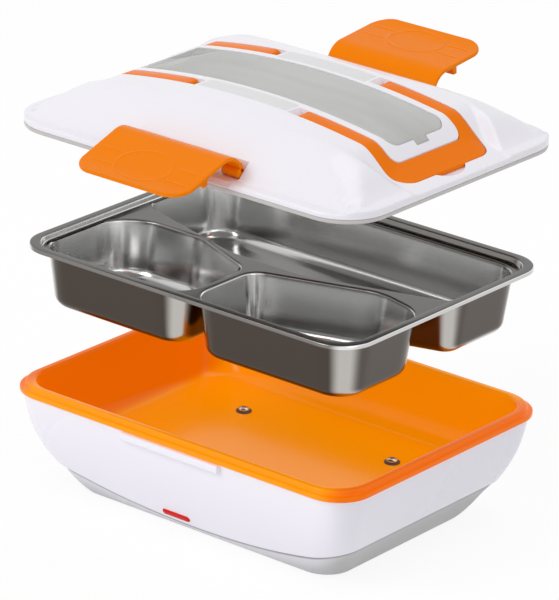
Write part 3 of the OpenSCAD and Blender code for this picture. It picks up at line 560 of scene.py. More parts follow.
class Outline:
    """A closed outline of straight lines and arcs, from [x, y, radius] corners taken anticlockwise."""

    def __init__(self, corners, n=8, spacing=2.5):
        self.corners, self.n = np.array(corners, float), n
        arcs = self._arcs(0)
        self.counts = [max(1, int(np.linalg.norm(arcs[(k + 1) % len(arcs)][0] - arc[-1]) / spacing))
                       for k, arc in enumerate(arcs)]

    def _side(self, k, d):
        c = self.corners
        p, q = c[k % len(c)][:2], c[(k + 1) % len(c)][:2]
        v = (q - p) / np.linalg.norm(q - p)
        return p + d * np.array([-v[1], v[0]]), v

    def _arcs(self, d):
        arcs = []
        for k in range(len(self.corners)):
            (p, v), (q, w) = self._side(k - 1, d), self._side(k, d)
            turn = v[0] * w[1] - v[1] * w[0]
            tip = p + v * ((q - p)[0] * w[1] - (q - p)[1] * w[0]) / turn
            side = 1 if turn > 0 else -1
            r = max(self.corners[k][2] - side * d, 0.3)
            bend = math.acos(max(-1.0, min(1.0, float(v @ w))))
            hub = tip - r * math.tan(bend / 2) * v + side * r * np.array([-v[1], v[0]])
            start = -side * np.array([-v[1], v[0]]) * r
            t = side * bend * np.linspace(0, 1, self.n + 1)
            arcs.append(hub + np.stack([start[0] * np.cos(t) - start[1] * np.sin(t),
                                        start[0] * np.sin(t) + start[1] * np.cos(t)], 1))
        return arcs

    def at(self, d=0.0):
        """The outline moved in by d, always with the same number of points."""
        arcs = self._arcs(d)
        ring = []
        for k, arc in enumerate(arcs):
            end = arcs[(k + 1) % len(arcs)][0]
            share = np.linspace(0, 1, self.counts[k] + 1)[1:-1, None]
            ring += [arc, arc[-1] + (end - arc[-1]) * share]
        return np.concatenate(ring)


class Build:
    """Points and faces gathered from rings, fills and lofts."""

    def __init__(self):
        self.points, self.faces = [], []

    def add(self, points):
        start = len(self.points)
        self.points.extend(np.asarray(points, float))
        return start

    def loft(self, rings, loop=False, first=False, last=False):
        n = len(rings[0])
        starts = [self.add(ring) for ring in rings]
        pairs = list(zip(starts, starts[1:])) + ([(starts[-1], starts[0])] if loop else [])
        for a, b in pairs:
            for i in range(n):
                j = (i + 1) % n
                self.faces.append((a + i, a + j, b + j, b + i))
        if first:
            self.faces.append(tuple(starts[0] + i for i in range(n - 1, -1, -1)))
        if last:
            self.faces.append(tuple(starts[-1] + i for i in range(n)))
        return self

    def fill(self, ring, up=True):
        """Triangles inside one ring, which may bend inwards."""
        flat = [Vector(p[:2]) for p in ring]
        n = len(flat)
        edges = [(i, (i + 1) % n) for i in range(n)]
        places, _, tris, origin, _, _ = delaunay_2d_cdt(flat, edges, [tuple(range(n))], 1, 1e-7)
        start = self.add(ring)
        for tri in tris:
            ids = [start + origin[i][0] for i in tri]
            a, b, c = (np.array(places[i]) for i in tri)
            left = (b - a)[0] * (c - a)[1] - (b - a)[1] * (c - a)[0] > 0
            self.faces.append(tuple(ids if left == up else ids[::-1]))
        return self

    def piece(self, name, material, angle=35, tidy=True):
        mesh = bpy.data.meshes.new(name)
        mesh.from_pydata((np.array(self.points) * MM).tolist(), [], self.faces)
        work = bmesh.new()
        work.from_mesh(mesh)
        bmesh.ops.remove_doubles(work, verts=work.verts, dist=2e-6)
        if tidy:
            bmesh.ops.recalc_face_normals(work, faces=work.faces)
        work.to_mesh(mesh)
        work.free()
        mesh.shade_smooth()
        mesh.set_sharp_from_angle(angle=math.radians(angle))
        mesh.materials.append(material)
        made = bpy.data.objects.new(name, mesh)
        bpy.context.scene.collection.objects.link(made)
        return made


def bake(piece, angle=35):
    """Puts the result of the modifiers into the piece's own mesh."""
    made = bpy.data.meshes.new_from_object(piece.evaluated_get(bpy.context.evaluated_depsgraph_get()))
    piece.modifiers.clear()
    piece.data = made
    made.shade_smooth()
    made.set_sharp_from_angle(angle=math.radians(angle))


def carve(piece, tools, angle=35):
    """Cuts the tools out of the piece and removes them."""
    for tool in tools:
        step = piece.modifiers.new("carve", "BOOLEAN")
        step.operation, step.solver, step.object = "DIFFERENCE", "MANIFOLD", tool
    bpy.context.view_layer.update()
    bake(piece, angle)
    for tool in tools:
        bpy.data.objects.remove(tool)


def settle(piece, body, slot, *nodes):
    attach(piece, body)
    if nodes:
        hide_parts(*nodes)


def rounded_block(low, high, edge, material=None, name="block"):
    """A block with all its edges rounded, between two corners in millimetres."""
    work = bmesh.new()
    low, high = np.array(low, float) * MM, np.array(high, float) * MM
    place = Matrix.Translation(Vector((low + high) / 2)) @ Matrix.Diagonal((*(high - low), 1))
    bmesh.ops.create_cube(work, size=1, matrix=place)
    bmesh.ops.bevel(work, geom=work.edges[:], offset=edge * MM, segments=4, profile=0.5, affect="EDGES")
    mesh = bpy.data.meshes.new(name)
    work.to_mesh(mesh)
    work.free()
    mesh.shade_smooth()
    mesh.set_sharp_from_angle(angle=math.radians(35))
    if material:
        mesh.materials.append(material)
    made = bpy.data.objects.new(name, mesh)
    bpy.context.scene.collection.objects.link(made)
    return made


def seam_at(drop=0.0, grow=0.0):
    """Height of the curved seam at each point of a ring."""
    z = np.full(len(RIM), 12.0)
    for _ in range(30):
        x = (RIM + INWARD * (wall_at(z) + drop)[:, None])[:, 0]
        z = SEAM_LOW + SEAM_R - np.sqrt((SEAM_R + grow) ** 2 - x ** 2)
    return z


print("ring of the base:", len(RIM), "points")

# %% [markdown]
# ## The base
# The white shell stands 0.8 mm proud of the grey bottom cover, and the seam between them bows down
# towards the middle of each long side. The liner is one skin: up behind the shell, out under the
# flange, over the raised bead and down into the well, with every corner eased.

# %% The shell, its catches and the bottom cover
seam = seam_at()
rows = [base_ring(wall_at(seam) + SHELL_T, seam), base_ring(wall_at(seam) + 0.4, seam),
        base_ring(wall_at(seam) + 0.12, seam + 0.12)]
for v in np.linspace(0, 1, 26):
    z = seam + 0.4 + (SHELL_TOP - seam - 0.4) * v
    rows.append(base_ring(wall_at(z), z))
for v in np.linspace(1, 0, 14)[:-1]:
    z = seam + (SHELL_TOP - seam) * v
    rows.append(base_ring(wall_at(z) + SHELL_T, z))
shell = Build().loft(rows, loop=True).piece("base_shell", white_gloss)
settle(shell, "base", "white_shell", "outer_shell")
for side, name in ((-1, "catch_front"), (1, "catch_back")):
    ys = sorted(side * y for y in CATCH_Y)
    catch = rounded_block((-CATCH_HALF, ys[0], CATCH_Z[0]), (CATCH_HALF, ys[1], CATCH_Z[1]), 1.1,
                          white_gloss, name)
    settle(catch, "base", "white_shell")

seam = seam_at(COVER_IN, 0.4)
rows = [base_ring(31, COVER_LOW)]
for v in np.linspace(0, 1, 16):
    z = COVER_LOW + (seam - COVER_LOW) * v
    rows.append(base_ring(wall_at(z) + COVER_IN, z))
for v in np.linspace(1, 0, 10):
    z = COVER_FLOOR + (seam - COVER_FLOOR) * v
    rows.append(base_ring(wall_at(z) + COVER_INSIDE, z))
cover = Build().loft(rows, first=True, last=True).piece("base_cover", grey_matt)
tools = [rounded_block((-110, -10.6, 6.4), (-78, 10.6, 16.6), 0.4)]
for x in (-82, 82):
    for y in (-24, 24):
        cone = [level(round_rect(r, r, r - 0.001, 8, 1) + (x, y), z)
                for r, z in ((3.1, 0.9), (2.9, 1.2), (1.6, 2.6), (1.6, 5))]
        tools.append(Build().loft(cone, first=True, last=True).piece("countersink", grey_matt))
carve(cover, tools)
settle(cover, "base", "grey_cover", "bottom_cover")
print("base shell and cover:", len(shell.data.polygons), len(cover.data.polygons), "faces")

# %% [markdown]
# ## The liner
# Its cross-section is three runs of points: up the outside, over the flange and bead, and down the
# inside to the floor. Each run is [inset, height], and every point becomes one ring of the base.

# %% The liner
outside = bent_line([(22, 23.8), (18, 24.6), (14.6, 27), (12.6, 31), (9.8, 38), (7.8, 46), (6.2, 54),
                     (5.3, 59.5)])
edge = bent_line([(5.3, 59.5), (0, 59.5), (0, 62.3), (2.4, 62.3), (2.5, 65), (6.6, 65), (7.2, 61)],
                 [0, 0.2, 0.3, 0.3, 0.4, 0.34, 0], 5)
inside = bent_line([(7.2, 61), (8.4, 54), (10, 46), (12, 38), (14.5, 31.5), (16.5, 28.6), (19.5, 26.6),
                    (24, 26), (30, 26)])
rows = [base_ring(inset, z) for inset, z in np.concatenate([outside, edge[1:], inside[1:]])]
liner = Build().loft(rows, first=True, last=True).piece("orange_liner_skin", liner_orange, 50)
settle(liner, "base", "orange_liner", "inner_liner")
print("liner:", len(liner.data.polygons), "faces")

# %% [markdown]
# ## Screws, washers and the lens
# One screw and one washer are turned from their profiles, and a Geometry Nodes group sets four of
# each on the corners of a rectangle. The red lens is a rounded bar with a domed face, tilted to lie
# on the shell.

# %% Floor screws and washers, set out by Geometry Nodes
def turned(name, profile, material, cross=None):
    """A turned part from [radius, height] points, with a cross slot if asked."""
    rows, sides = [], 48
    t = np.radians(np.linspace(0, 360, sides, endpoint=False))
    for r, z in profile:
        rows.append(np.column_stack([r * np.cos(t), r * np.sin(t), np.full(sides, z)]))
    made = Build().loft(rows, first=True, last=True).piece(name, material, 40)
    if cross:
        width, depth, top = cross
        carve(made, [rounded_block((-width, -0.4, top - depth), (width, 0.4, top + 2), 0.15),
                     rounded_block((-0.4, -width, top - depth), (0.4, width, top + 2), 0.15)], angle=40)
    return made


def corners_tree(name, made, material):
    """Four copies at the corners of a rectangle; its two spacings are inputs."""
    tree = bpy.data.node_groups.new(name, "GeometryNodeTree")
    tree.interface.new_socket("Geometry", in_out="INPUT", socket_type="NodeSocketGeometry")
    along = tree.interface.new_socket("Spacing along", in_out="INPUT", socket_type="NodeSocketFloat")
    across = tree.interface.new_socket("Spacing across", in_out="INPUT", socket_type="NodeSocketFloat")
    tree.interface.new_socket("Geometry", in_out="OUTPUT", socket_type="NodeSocketGeometry")
    new, link = tree.nodes.new, tree.links.new
    start, end = new("NodeGroupInput"), new("NodeGroupOutput")
    grid, info = new("GeometryNodeMeshGrid"), new("GeometryNodeObjectInfo")
    copies, real = new("GeometryNodeInstanceOnPoints"), new("GeometryNodeRealizeInstances")
    dress = new("GeometryNodeSetMaterial")
    grid.inputs["Vertices X"].default_value = grid.inputs["Vertices Y"].default_value = 2
    info.inputs["Object"].default_value = made
    dress.inputs["Material"].default_value = material
    link(start.outputs["Spacing along"], grid.inputs["Size X"])
    link(start.outputs["Spacing across"], grid.inputs["Size Y"])
    link(grid.outputs["Mesh"], copies.inputs["Points"])
    link(info.outputs["Geometry"], copies.inputs["Instance"])
    link(copies.outputs[0], real.inputs[0])
    link(real.outputs[0], dress.inputs["Geometry"])
    link(dress.outputs[0], end.inputs[0])
    return tree, along.identifier, across.identifier


def at_corners(name, made, material, spacing_x, spacing_y):
    holder = bpy.data.objects.new(name, bpy.data.meshes.new(name))
    bpy.context.scene.collection.objects.link(holder)
    tree, along, across = corners_tree(name, made, material)
    step = holder.modifiers.new("corners", "NODES")
    step.node_group = tree
    step[along], step[across] = spacing_x * MM, spacing_y * MM
    bpy.context.view_layer.update()
    bake(holder, 40)
    bpy.data.objects.remove(made)
    return holder


screw = turned("screw", [(1.5, 11), (1.5, 26.4), (3.2, 26.85), (3.3, 27.1), (3.1, 27.9), (2.4, 28.4),
                         (1.2, 28.6)], bright_steel, cross=(1.7, 0.9, 28.6))
SCREWS_APART = (105, 77)
screws = at_corners("floor_screw_set", screw, bright_steel, *SCREWS_APART)
settle(screws, "base", "bright_steel", "floor_screws")
washer = turned("washer", [(4.1, 25.9), (4.5, 26.1), (4.5, 26.6), (4.2, 26.8), (3.4, 26.8)], washer_grey)
washers = at_corners("floor_washer_set", washer, washer_grey, *SCREWS_APART)
settle(washers, "base", "grey_seal", "floor_washers")
print("screws and washers:", len(screws.data.polygons), len(washers.data.polygons), "faces")

# %% The lens
LENS_AT, LENS_TILT = Vector((-10, -70.25, 10.8)), 122
lens_plan = Outline([(-9.5, -2.1, 2.08), (9.5, -2.1, 2.08), (9.5, 2.1, 2.08), (-9.5, 2.1, 2.08)], 10, 1.5)
lens_rows = [level(lens_plan.at(0), -8), level(lens_plan.at(0), 0.0)]
for t in np.radians([20, 40, 60, 80]):
    lens_rows.append(level(lens_plan.at(1.2 * (1 - math.cos(t))), 1.1 * math.sin(t)))
lens = Build().loft(lens_rows, first=True, last=True).piece("power_lens", lens_red, 50)
lens.data.transform(Matrix.Translation(LENS_AT * MM) @ Matrix.Rotation(math.radians(LENS_TILT), 4, "X"))
settle(lens, "base", "red_lens", "indicator_lens")
print("lens:", len(lens.data.polygons), "faces")

# %% [markdown]
# ## The tray
# The tray is drawn as the upper skin of its sheet: rolled rim, step down to the deck, and three
# compartments with a small lip at the top and a round foot. The deck between them is filled with
# triangles, and a Solidify modifier gives the sheet its 0.7 mm.

# %% The tray
LIFT, TRAY_T = 78.5, 0.7
RIM_Z, DECK_Z, FLOOR_Z = 67.33 + LIFT, 63.9 + LIFT, 31.0 + TRAY_T + LIFT
COMPARTMENTS = [
    [(-107, -79, 20), (-4.5, -79, 18), (-4.5, -25, 14), (-52, -5, 30), (-107, -5, 26)],
    [(0.5, -79, 18), (107, -79, 20), (107, -12, 24), (70, -2.5, 30), (0.5, -25, 12)],
    [(-107, 14, 14), (-26, -10.5, 50), (26, -10.5, 50), (107, 14, 14), (107, 77.5, 20), (-107, 77.5, 20)],
]


def tray_ring(inset, z):
    radius = 20 - 2.7 * inset / 5.5 if inset < 5.5 else 17.3 - (inset - 5.5)
    return level(round_rect(114.2 - inset, 88.2 - inset, radius, 14, 40), z)


tray = Build()
rim = bent_line([(0.0, RIM_Z - 2.2), (0, RIM_Z), (5.2, RIM_Z), (5.9, DECK_Z), (8.2, DECK_Z)],
                [0, 0.45, 0.26, 0.35, 0], 5)
tray.loft([tray_ring(inset, z) for inset, z in rim])
lip, foot = 1.3, 6.0
slope = math.atan2(3.6, DECK_Z - FLOOR_Z)
profile = [(-1.9, DECK_Z)]
for t in np.linspace(0, math.pi / 2 - slope, 7):
    profile.append((-1.35 + lip * math.sin(t), DECK_Z - lip * (1 - math.cos(t))))
for t in np.linspace(0, math.pi / 2 - slope, 9):
    profile.append((3.3 + foot * (1 - math.cos(t)), FLOOR_Z + foot * (1 - math.sin(t))))
profile.append((11.5, FLOOR_Z))
plans = [Outline(c, 12, 3.0) for c in COMPARTMENTS]
for plan in plans:
    tray.loft([level(plan.at(inset), z) for inset, z in profile], last=True)


def inside_of(ring, points):
    """Which points lie inside a closed outline."""
    x, y = points[:, 0], points[:, 1]
    found = np.zeros(len(points), bool)
    for (x0, y0), (x1, y1) in zip(ring, np.roll(ring, -1, 0)):
        crosses = (y0 > y) != (y1 > y)
        with np.errstate(divide="ignore", invalid="ignore"):
            found ^= crosses & (x < (x1 - x0) * (y - y0) / (y1 - y0) + x0)
    return found


edge_ring = tray_ring(8.2, 0)[:, :2]
holes = [plan.at(-1.9) for plan in plans]
flat, edges = [], []
for ring in [edge_ring] + holes:
    start = len(flat)
    flat += [Vector(p) for p in ring]
    edges += [(start + i, start + (i + 1) % len(ring)) for i in range(len(ring))]
places, _, tris, _, _, _ = delaunay_2d_cdt(flat, edges, [], 0, 1e-7)
places = np.array([tuple(p) for p in places])
tris = np.array(tris)
middles = places[tris].mean(1)
keep = inside_of(edge_ring, middles)
for hole in holes:
    keep &= ~inside_of(hole, middles)
a, b, c = (places[tris[keep][:, k]] for k in range(3))
left = (b - a)[:, 0] * (c - a)[:, 1] - (b - a)[:, 1] * (c - a)[:, 0] > 0
start = tray.add(level(places, DECK_Z))
for tri, up in zip(tris[keep] + start, left):
    tray.faces.append(tuple(int(i) for i in (tri if up else tri[::-1])))
sheet = tray.piece("steel_tray", steel_above, 50, tidy=False)
sheet.data.materials.append(steel_below)
skin = sheet.modifiers.new("sheet", "SOLIDIFY")
skin.thickness, skin.offset = TRAY_T * MM, -1
skin.material_offset = skin.material_offset_rim = 1
bpy.context.view_layer.update()
bake(sheet, 50)
settle(sheet, "tray", "tray_steel", "food_tray")
print("tray:", len(sheet.data.polygons), "faces")

# %% [markdown]
# ## The lid
# The top of the lid is one height over its plan: a crown that arches along the box and a bulge that
# falls to the border across it, joined by a soft minimum so that the creases are rounded. Rings of
# points take their heights from it, two Booleans cut the handle channels, the spoon opening and the
# clip pockets, and the normals of the cut skin are written back from the height's own slope.

# %% Height of the lid
LID = 213.5
LID_L, LID_W, EDGE_H, CROWN_H = 118, 93.5, 5.5, 31
RISE = CROWN_H - EDGE_H
HINGE_X, HINGE_Z, HANDLE_T = 39.0, 27.0166, 4.8
CLIP_HALF, CLIP_AXIS = 37.0, (83.5, 8.6)
KNUCKLE_R, KNUCKLES, CLIP_BARRELS = 2.8, ((-26, -9), (9, 26)), ((-37.0, -26.2), (-8.8, 8.8), (26.2, 37.0))


def ramp(t):
    t = np.clip(t, 0, 1)
    return t * t * (3 - 2 * t)


def soft_max(a, b, k):
    near = np.maximum(k - np.abs(a - b), 0) / k
    return np.maximum(a, b) + near * near * k / 4


def arch_at(x):
    return CROWN_H - 7 * (x / 82) ** 2


def crown(x):
    """Height of the top along the middle of the lid."""
    x = np.abs(x)
    arch = arch_at(x)
    apron = EDGE_H + 4.5 * (LID_L - x) / 18
    s = ramp((x - 80) / 23)
    return arch * (1 - s) + np.minimum(apron, arch) * s


def bulge(y):
    t = np.clip((np.abs(y) - 36) / 50, 0, 1.4)
    return EDGE_H + soft_max(RISE * (1 - t * t), 0 * t, 1.6) + 4 * (1 - ramp((np.abs(y) - 36) / 14))


def corner(x, y):
    """Height of the full corners beside the handle channels."""
    dome = EDGE_H + RISE * (1 - np.clip((np.abs(x) - 60) / 52, 0, 1) ** 2)
    valley = EDGE_H + (np.abs(y) - 41) * RISE / 16
    return -soft_max(soft_max(-arch_at(x), -dome, 3.0), -valley, 5.0)


def lid_top(x, y):
    c, b = soft_max(crown(x), corner(x, y), 4.0), bulge(y)
    wide = 4 + 7 * ramp((np.abs(x) - 72) / 20)
    k = np.maximum(wide * ramp((np.minimum(c, b) - EDGE_H) / 6), 0.01)
    return -soft_max(-c, -b, k)


def lid_normals(x, y, step=0.02):
    dx = (lid_top(x + step, y) - lid_top(x - step, y)) / (2 * step)
    dy = (lid_top(x, y + step) - lid_top(x, y - step)) / (2 * step)
    n = np.column_stack([-dx, -dy, np.ones_like(dx)])
    return n / np.linalg.norm(n, axis=1)[:, None]


def lid_ring(inset, z=None, tighten=0.27):
    a, b = LID_L - inset, LID_W - inset
    ring = round_rect(a, b, max(min(26 - tighten * inset, b - 0.2), 0.4), 12, 64)
    return level(ring, (lid_top(*ring.T) if z is None else z) + LID)


def prism(points, start, end, axis):
    """A solid with the given outline in two axes, drawn along the third."""
    rows = []
    for at in (start, end):
        ring = np.zeros((len(points), 3))
        ring[:, [k for k in range(3) if k != axis]] = points
        ring[:, axis] = at
        rows.append(ring)
    return Build().loft(rows, first=True, last=True)


def join(builds):
    """Several solids that don't touch, as one."""
    whole = Build()
    for one in builds:
        start = whole.add(one.points)
        whole.faces += [tuple(start + i for i in face) for face in one.faces]
    return whole


def turned_round(build):
    """The same solid at the other end of the lid."""
    made = Build()
    made.add(np.array(build.points) * (-1, -1, 1))
    made.faces = build.faces
    return made


def slab(plan, top, bottom, edge=0.7, under=0.3):
    """A plate with rounded edges between two heights that follow x."""
    rings = []
    for t in np.radians([90, 45, 0]):
        ring = plan.at(under * (1 - math.cos(t)))
        rings.append(level(ring, bottom(ring[:, 0]) + under * (1 - math.sin(t))))
    for t in np.radians([0, 22, 45, 68, 90]):
        ring = plan.at(edge * (1 - math.cos(t)))
        high, low = top(ring[:, 0]), bottom(ring[:, 0])
        e = np.minimum(edge, 0.45 * (high - low))
        rings.append(level(ring, high - e * (1 - math.sin(t))))
    made = Build()
    made.fill(rings[0], up=False)
    made.loft(rings)
    made.fill(rings[-1])
    made.points = [p + (0, 0, LID) for p in np.array(made.points)]
    return made


def handle_corners(x0):
    return [(x0, -39.5, 0.8), (109, -39.5, 12), (109, 39.5, 12), (x0, 39.5, 0.8), (x0, 30, 0.8),
            (95, 30, 6), (95, -30, 6), (x0, -30, 0.8)]


AXIS_X, AXIS_Z = -86.2, float(crown(86.2)) - 2
print("height of the lid at its middle and its edge:", float(lid_top(0.0, 0.0)), float(lid_top(0.0, 92.0)))

# %% [markdown]
# ## The lid's skin and its cuts
# Rings of points take their heights from lid_top and close over the middle with triangles. One
# Boolean cuts the channels of the handles and the opening, a second one the hinge pockets, the room
# for the clips, the finger scoops and the spoon tub.

# %% The lid's skin and its cuts
lid = Build()
rows = [lid_ring(2, 4.0), lid_ring(2, 2.3), lid_ring(0.3, 2.3), lid_ring(0.0, 2.6)]
edge_z = lid_ring(1.6)[:, 2] - LID
for t in np.radians([0, 18, 36, 54, 72]):
    rows.append(lid_ring(1.6 * (1 - math.cos(t)), edge_z - 1.6 * (1 - math.sin(t))))
insets = np.concatenate([[1.6, 2.2, 3.0], np.arange(4.2, 91.5, 1.35), [92.6]])
rows += [lid_ring(inset) for inset in insets]
lid.loft(rows, first=True)
lid.fill(rows[-1])
skin = lid.piece("lid_skin", lid_white)

channel_plan = Outline(handle_corners(HINGE_X), spacing=2.0)
ring = channel_plan.at(-0.35)
floor_z = np.maximum(crown(ring[:, 0]) - HANDLE_T - 0.35, 5.3) + LID
channel = Build().fill(level(ring, floor_z), up=False).loft([level(ring, floor_z), level(ring, LID + 60)])
channel.fill(level(ring, LID + 60))
opening = Outline([(-88.6, -24.35, 1.5), (88.35, -24.35, 7.3), (88.35, -5.35, 0.4), (91.1, -5.35, 0.4),
                   (91.1, 5.35, 0.4), (88.35, 5.35, 0.4), (88.35, 24.35, 7.3), (-88.6, 24.35, 1.5)], 5, 2.0)
ring = opening.at(0)
floor_z = crown(ring[:, 0]) - 2.0 + LID
recess = Build().fill(level(ring, floor_z), up=False).loft([level(ring, floor_z), level(ring, LID + 60)])
recess.fill(level(ring, LID + 60))
carve(skin, [join([channel, turned_round(channel), recess]).piece("channels", lid_white)])

low = HINGE_Z - HANDLE_T / 2 - 0.35 + LID
pocket = [(36.1, low), (42, low), (42, LID + 36), (28.0, LID + 36), (31.4, LID + float(crown(31.4)))]
cuts = []
for y in (-34.75, 34.75):
    one = prism(pocket, y - 5.14, y + 5.14, 1)
    cuts += [one, turned_round(one)]
clip_room = prism([(77.5, LID + 5.47), (91.13, LID + 5.47), (94.5, LID + 2.1), (97, LID + 2.1),
                   (97, LID + 40), (77.5, LID + 40)], -37.6, 37.6, 0)
cuts += [clip_room, turned_round(clip_room)]
t = np.radians(np.linspace(-48.2, 48.2, 31))
scoop_rings = [level(np.column_stack([96.5 + r * np.cos(t), r * np.sin(t)]), LID + z)
               for r, z in ((17.0, 5.4), (17.7, 5.7), (18.0, 6.4), (18.0, 20))]
scoop = Build().loft(scoop_rings, first=True, last=True)
cuts += [scoop, turned_round(scoop)]
tub_rings = []
for t in np.radians([0, 30, 60, 90]):
    ring = round_rect(83.5 - 3 * (1 - math.sin(t)), 22 - 3 * (1 - math.sin(t)), 6, 8, 30) + (1.5, 0)
    tub_rings.append(level(ring, LID + 11 + 3 * (1 - math.cos(t))))
tub_rings.append(level(round_rect(83.5, 22, 6, 8, 30) + (1.5, 0), LID + 60))
cuts.append(Build().loft(tub_rings, first=True, last=True))
t = np.radians(np.linspace(0, 360, 32, endpoint=False))
groove = np.column_stack([AXIS_X + 2.1 * np.cos(t), LID + AXIS_Z + 2.1 * np.sin(t)])
cuts.append(prism(groove, -24.25, 24.25, 1))
carve(skin, [join(cuts).piece("pockets", lid_white)])


def write_normals(piece, normals_at, height_at, reach=0.3, turn=0.75):
    """Gives the loops that lie on a height surface the surface's own normals."""
    mesh = piece.data
    points = np.empty(len(mesh.vertices) * 3)
    mesh.vertices.foreach_get("co", points)
    points = points.reshape(-1, 3) / MM
    corners = np.empty(len(mesh.loops), int)
    mesh.loops.foreach_get("vertex_index", corners)
    normals = np.array([tuple(c.vector) for c in mesh.corner_normals])
    flat = np.repeat(np.array([tuple(p.normal) for p in mesh.polygons]),
                     [p.loop_total for p in mesh.polygons], axis=0)
    at = points[corners]
    wanted = normals_at(at[:, 0], at[:, 1])
    on = (np.abs(height_at(at[:, 0], at[:, 1]) + LID - at[:, 2]) < reach) & ((flat * wanted).sum(1) > turn)
    normals[on] = wanted[on]
    mesh.normals_split_custom_set(normals.tolist())
    return int(on.sum())


print("loops on the crown:", write_normals(skin, lid_normals, lid_top), "of", len(skin.data.loops))
settle(skin, "lid", "white_lid", "lid_shell")

# %% [markdown]
# ## Small parts of the lid
# Two knuckles on each side carry the pin of a clip, and a pale grey strip lies flush in the crown between
# the handles; its grey is painted shade of the crown's top faces. The grey band closes the lid from below.
# Its rings use the lid's outline with a true offset, so they stay clear of the tray's rim.

# %% Knuckles and flush strips
for side in (-1, 1):
    parts = []
    for x0, x1 in KNUCKLES:
        y, z = CLIP_AXIS[0], CLIP_AXIS[1] + LID
        t = np.radians(np.linspace(0, 180, 17))
        outline = [(y + KNUCKLE_R * math.cos(a), z + KNUCKLE_R * math.sin(a)) for a in t]
        outline += [(y - KNUCKLE_R, LID + 5.0), (y + KNUCKLE_R, LID + 5.0)]
        parts.append(prism(outline, x0, x1, 0))
    knuckle = join(parts) if side > 0 else turned_round(join(parts))
    settle(knuckle.piece("knuckles_" + ("back" if side > 0 else "front"), lid_white), "lid", "white_lid")
for side, name in ((-1, "strip_front"), (1, "strip_back")):
    ys = sorted((side * 27.2, side * 39.4))
    plan = Outline([(-30, ys[0], 1.6), (30, ys[0], 1.6), (30, ys[1], 1.6), (-30, ys[1], 1.6)], 5, 1.5)
    # The strip's pale grey is painted shade of the crown's top faces.
    strip = slab(plan, lambda x: crown(x) + 0.12, lambda x: crown(x) - 1.5, 0.25, 0.1)
    settle(strip.piece(name, crown_shade_grey), "lid", "white_lid")
print("knuckles and strips ready")

# %% The grey band under the lid
rows = [lid_ring(inset, z, 1) for inset, z in ((3.4, 2.5), (3.4, 0.5), (2.9, 0.0), (0.7, 0.0), (0.2, 0.2),
                                               (0.0, 0.7), (0.0, 2.25), (2.2, 2.28), (2.2, 3.95))]
band = Build().loft(rows, first=True, last=True).piece("lid_band", lid_grey, 50)
settle(band, "lid", "lid_grey", "lid_inner")
print("band:", len(band.data.polygons), "faces")

# %% [markdown]
# ## The spoon cover and the handles
# Both are slabs: a plan, a top that follows the crown, and a bottom below it. At the hinge end the top
# and the bottom turn into a round barrel about the hinge's axis. The left handle is the right one
# turned by half a turn.

# %% The spoon cover
BARREL = 1.65


def cover_top(x):
    dx = np.minimum(x - AXIS_X, 0)
    return np.where(x < AXIS_X, AXIS_Z + 0.3 + np.sqrt(np.maximum(BARREL ** 2 - dx * dx, 0)), crown(x))


def cover_bottom(x):
    round_z = AXIS_Z - np.sqrt(np.maximum(BARREL ** 2 - (x - AXIS_X) ** 2, 0))
    return np.where(np.abs(x - AXIS_X) < BARREL, np.minimum(round_z, crown(x) - 1.8), crown(x) - 1.8)


cover_plan = Outline([(-87.8, -24, 0.8), (88, -24, 7), (88, -5, 0.5), (90.8, -5, 1), (90.8, 5, 1),
                      (88, 5, 0.5), (88, 24, 7), (-87.8, 24, 0.8)], 6, 1.5)
flap = slab(cover_plan, cover_top, cover_bottom, 0.6).piece("clear_spoon_cover", smoked_clear)
settle(flap, "spoon_flap", "smoked_clear", "spoon_cover")
print("spoon cover:", len(flap.data.polygons), "faces")

# %% The handles
def round_end(x):
    """Half the height of the handle's round end, which is as thick as the handle."""
    dx = np.minimum(x - HINGE_X, 0)
    return np.sqrt(np.maximum((HANDLE_T / 2) ** 2 - dx * dx, 0))


def handle_top(x):
    return np.where(x < HINGE_X, HINGE_Z + round_end(x), crown(x))


def handle_bottom(x):
    flat = np.maximum(crown(x) - HANDLE_T, 5.6)
    return np.where(x < HINGE_X, HINGE_Z - round_end(x), flat)


handle_plan = Outline(handle_corners(HINGE_X - 2.39), spacing=0.8)
handle = slab(handle_plan, handle_top, handle_bottom, 0.8)
settle(handle.piece("right_grip", handle_orange), "right_handle", "orange_handle", "handle_right")
settle(turned_round(handle).piece("left_grip", handle_orange), "left_handle", "orange_handle", "handle_left")
print("handle:", len(handle.faces), "faces")

# %% [markdown]
# ## The clips
# A clip is a sheet bent along a line: root, shoulder, plate and flared tip. The line is walked in half
# millimetre steps, and at each step a flat ring with rounded ends is laid across it. The outer face of
# the ring is raised along the embossed ellipse and the two pairs of ribs beside it.

# %% The clips
SHEET_T, SHOULDER_R, LOW, FLARE_L, FLARE_R, TIP_R = 2.2, 13.0, -47.35, 14.0, 60.0, 12.0
TOP_Z = 2.65
OVAL_A, OVAL_B, OVAL_UP, RAISED = 17.0, 12.5, 16.5, 0.34


def ray(a):
    return np.array([math.cos(a), math.sin(a)])


def clip_line():
    """Points and outward normals of the middle of the sheet, from near the root to the tip."""
    mid_r, hub = SHOULDER_R - SHEET_T / 2, np.array([1.0, TOP_Z - SHOULDER_R])
    points, normals = [], []
    for a in np.radians(np.linspace(77.4, 0, 15)):
        points.append(hub + mid_r * ray(a))
        normals.append(ray(a))
    x, z = points[-1]
    for z in np.arange(hub[1] - 0.5, LOW + FLARE_L, -0.5):
        points.append(np.array([x, z]))
        normals.append(np.array([1.0, 0.0]))
    bend, r = np.array([14 + FLARE_R - SHEET_T, LOW + FLARE_L]), FLARE_R - SHEET_T / 2
    drops = np.concatenate([np.arange(0, 9, 0.5), 9 + 4.95 * np.sin(np.linspace(0, math.pi / 2, 16))])
    for drop in drops:
        a = math.pi + math.asin(drop / r)
        points.append(bend + r * ray(a))
        normals.append(ray(a))
    normals = [n if n[0] > 0 else -n for n in normals]
    return np.array(points), np.array(normals)


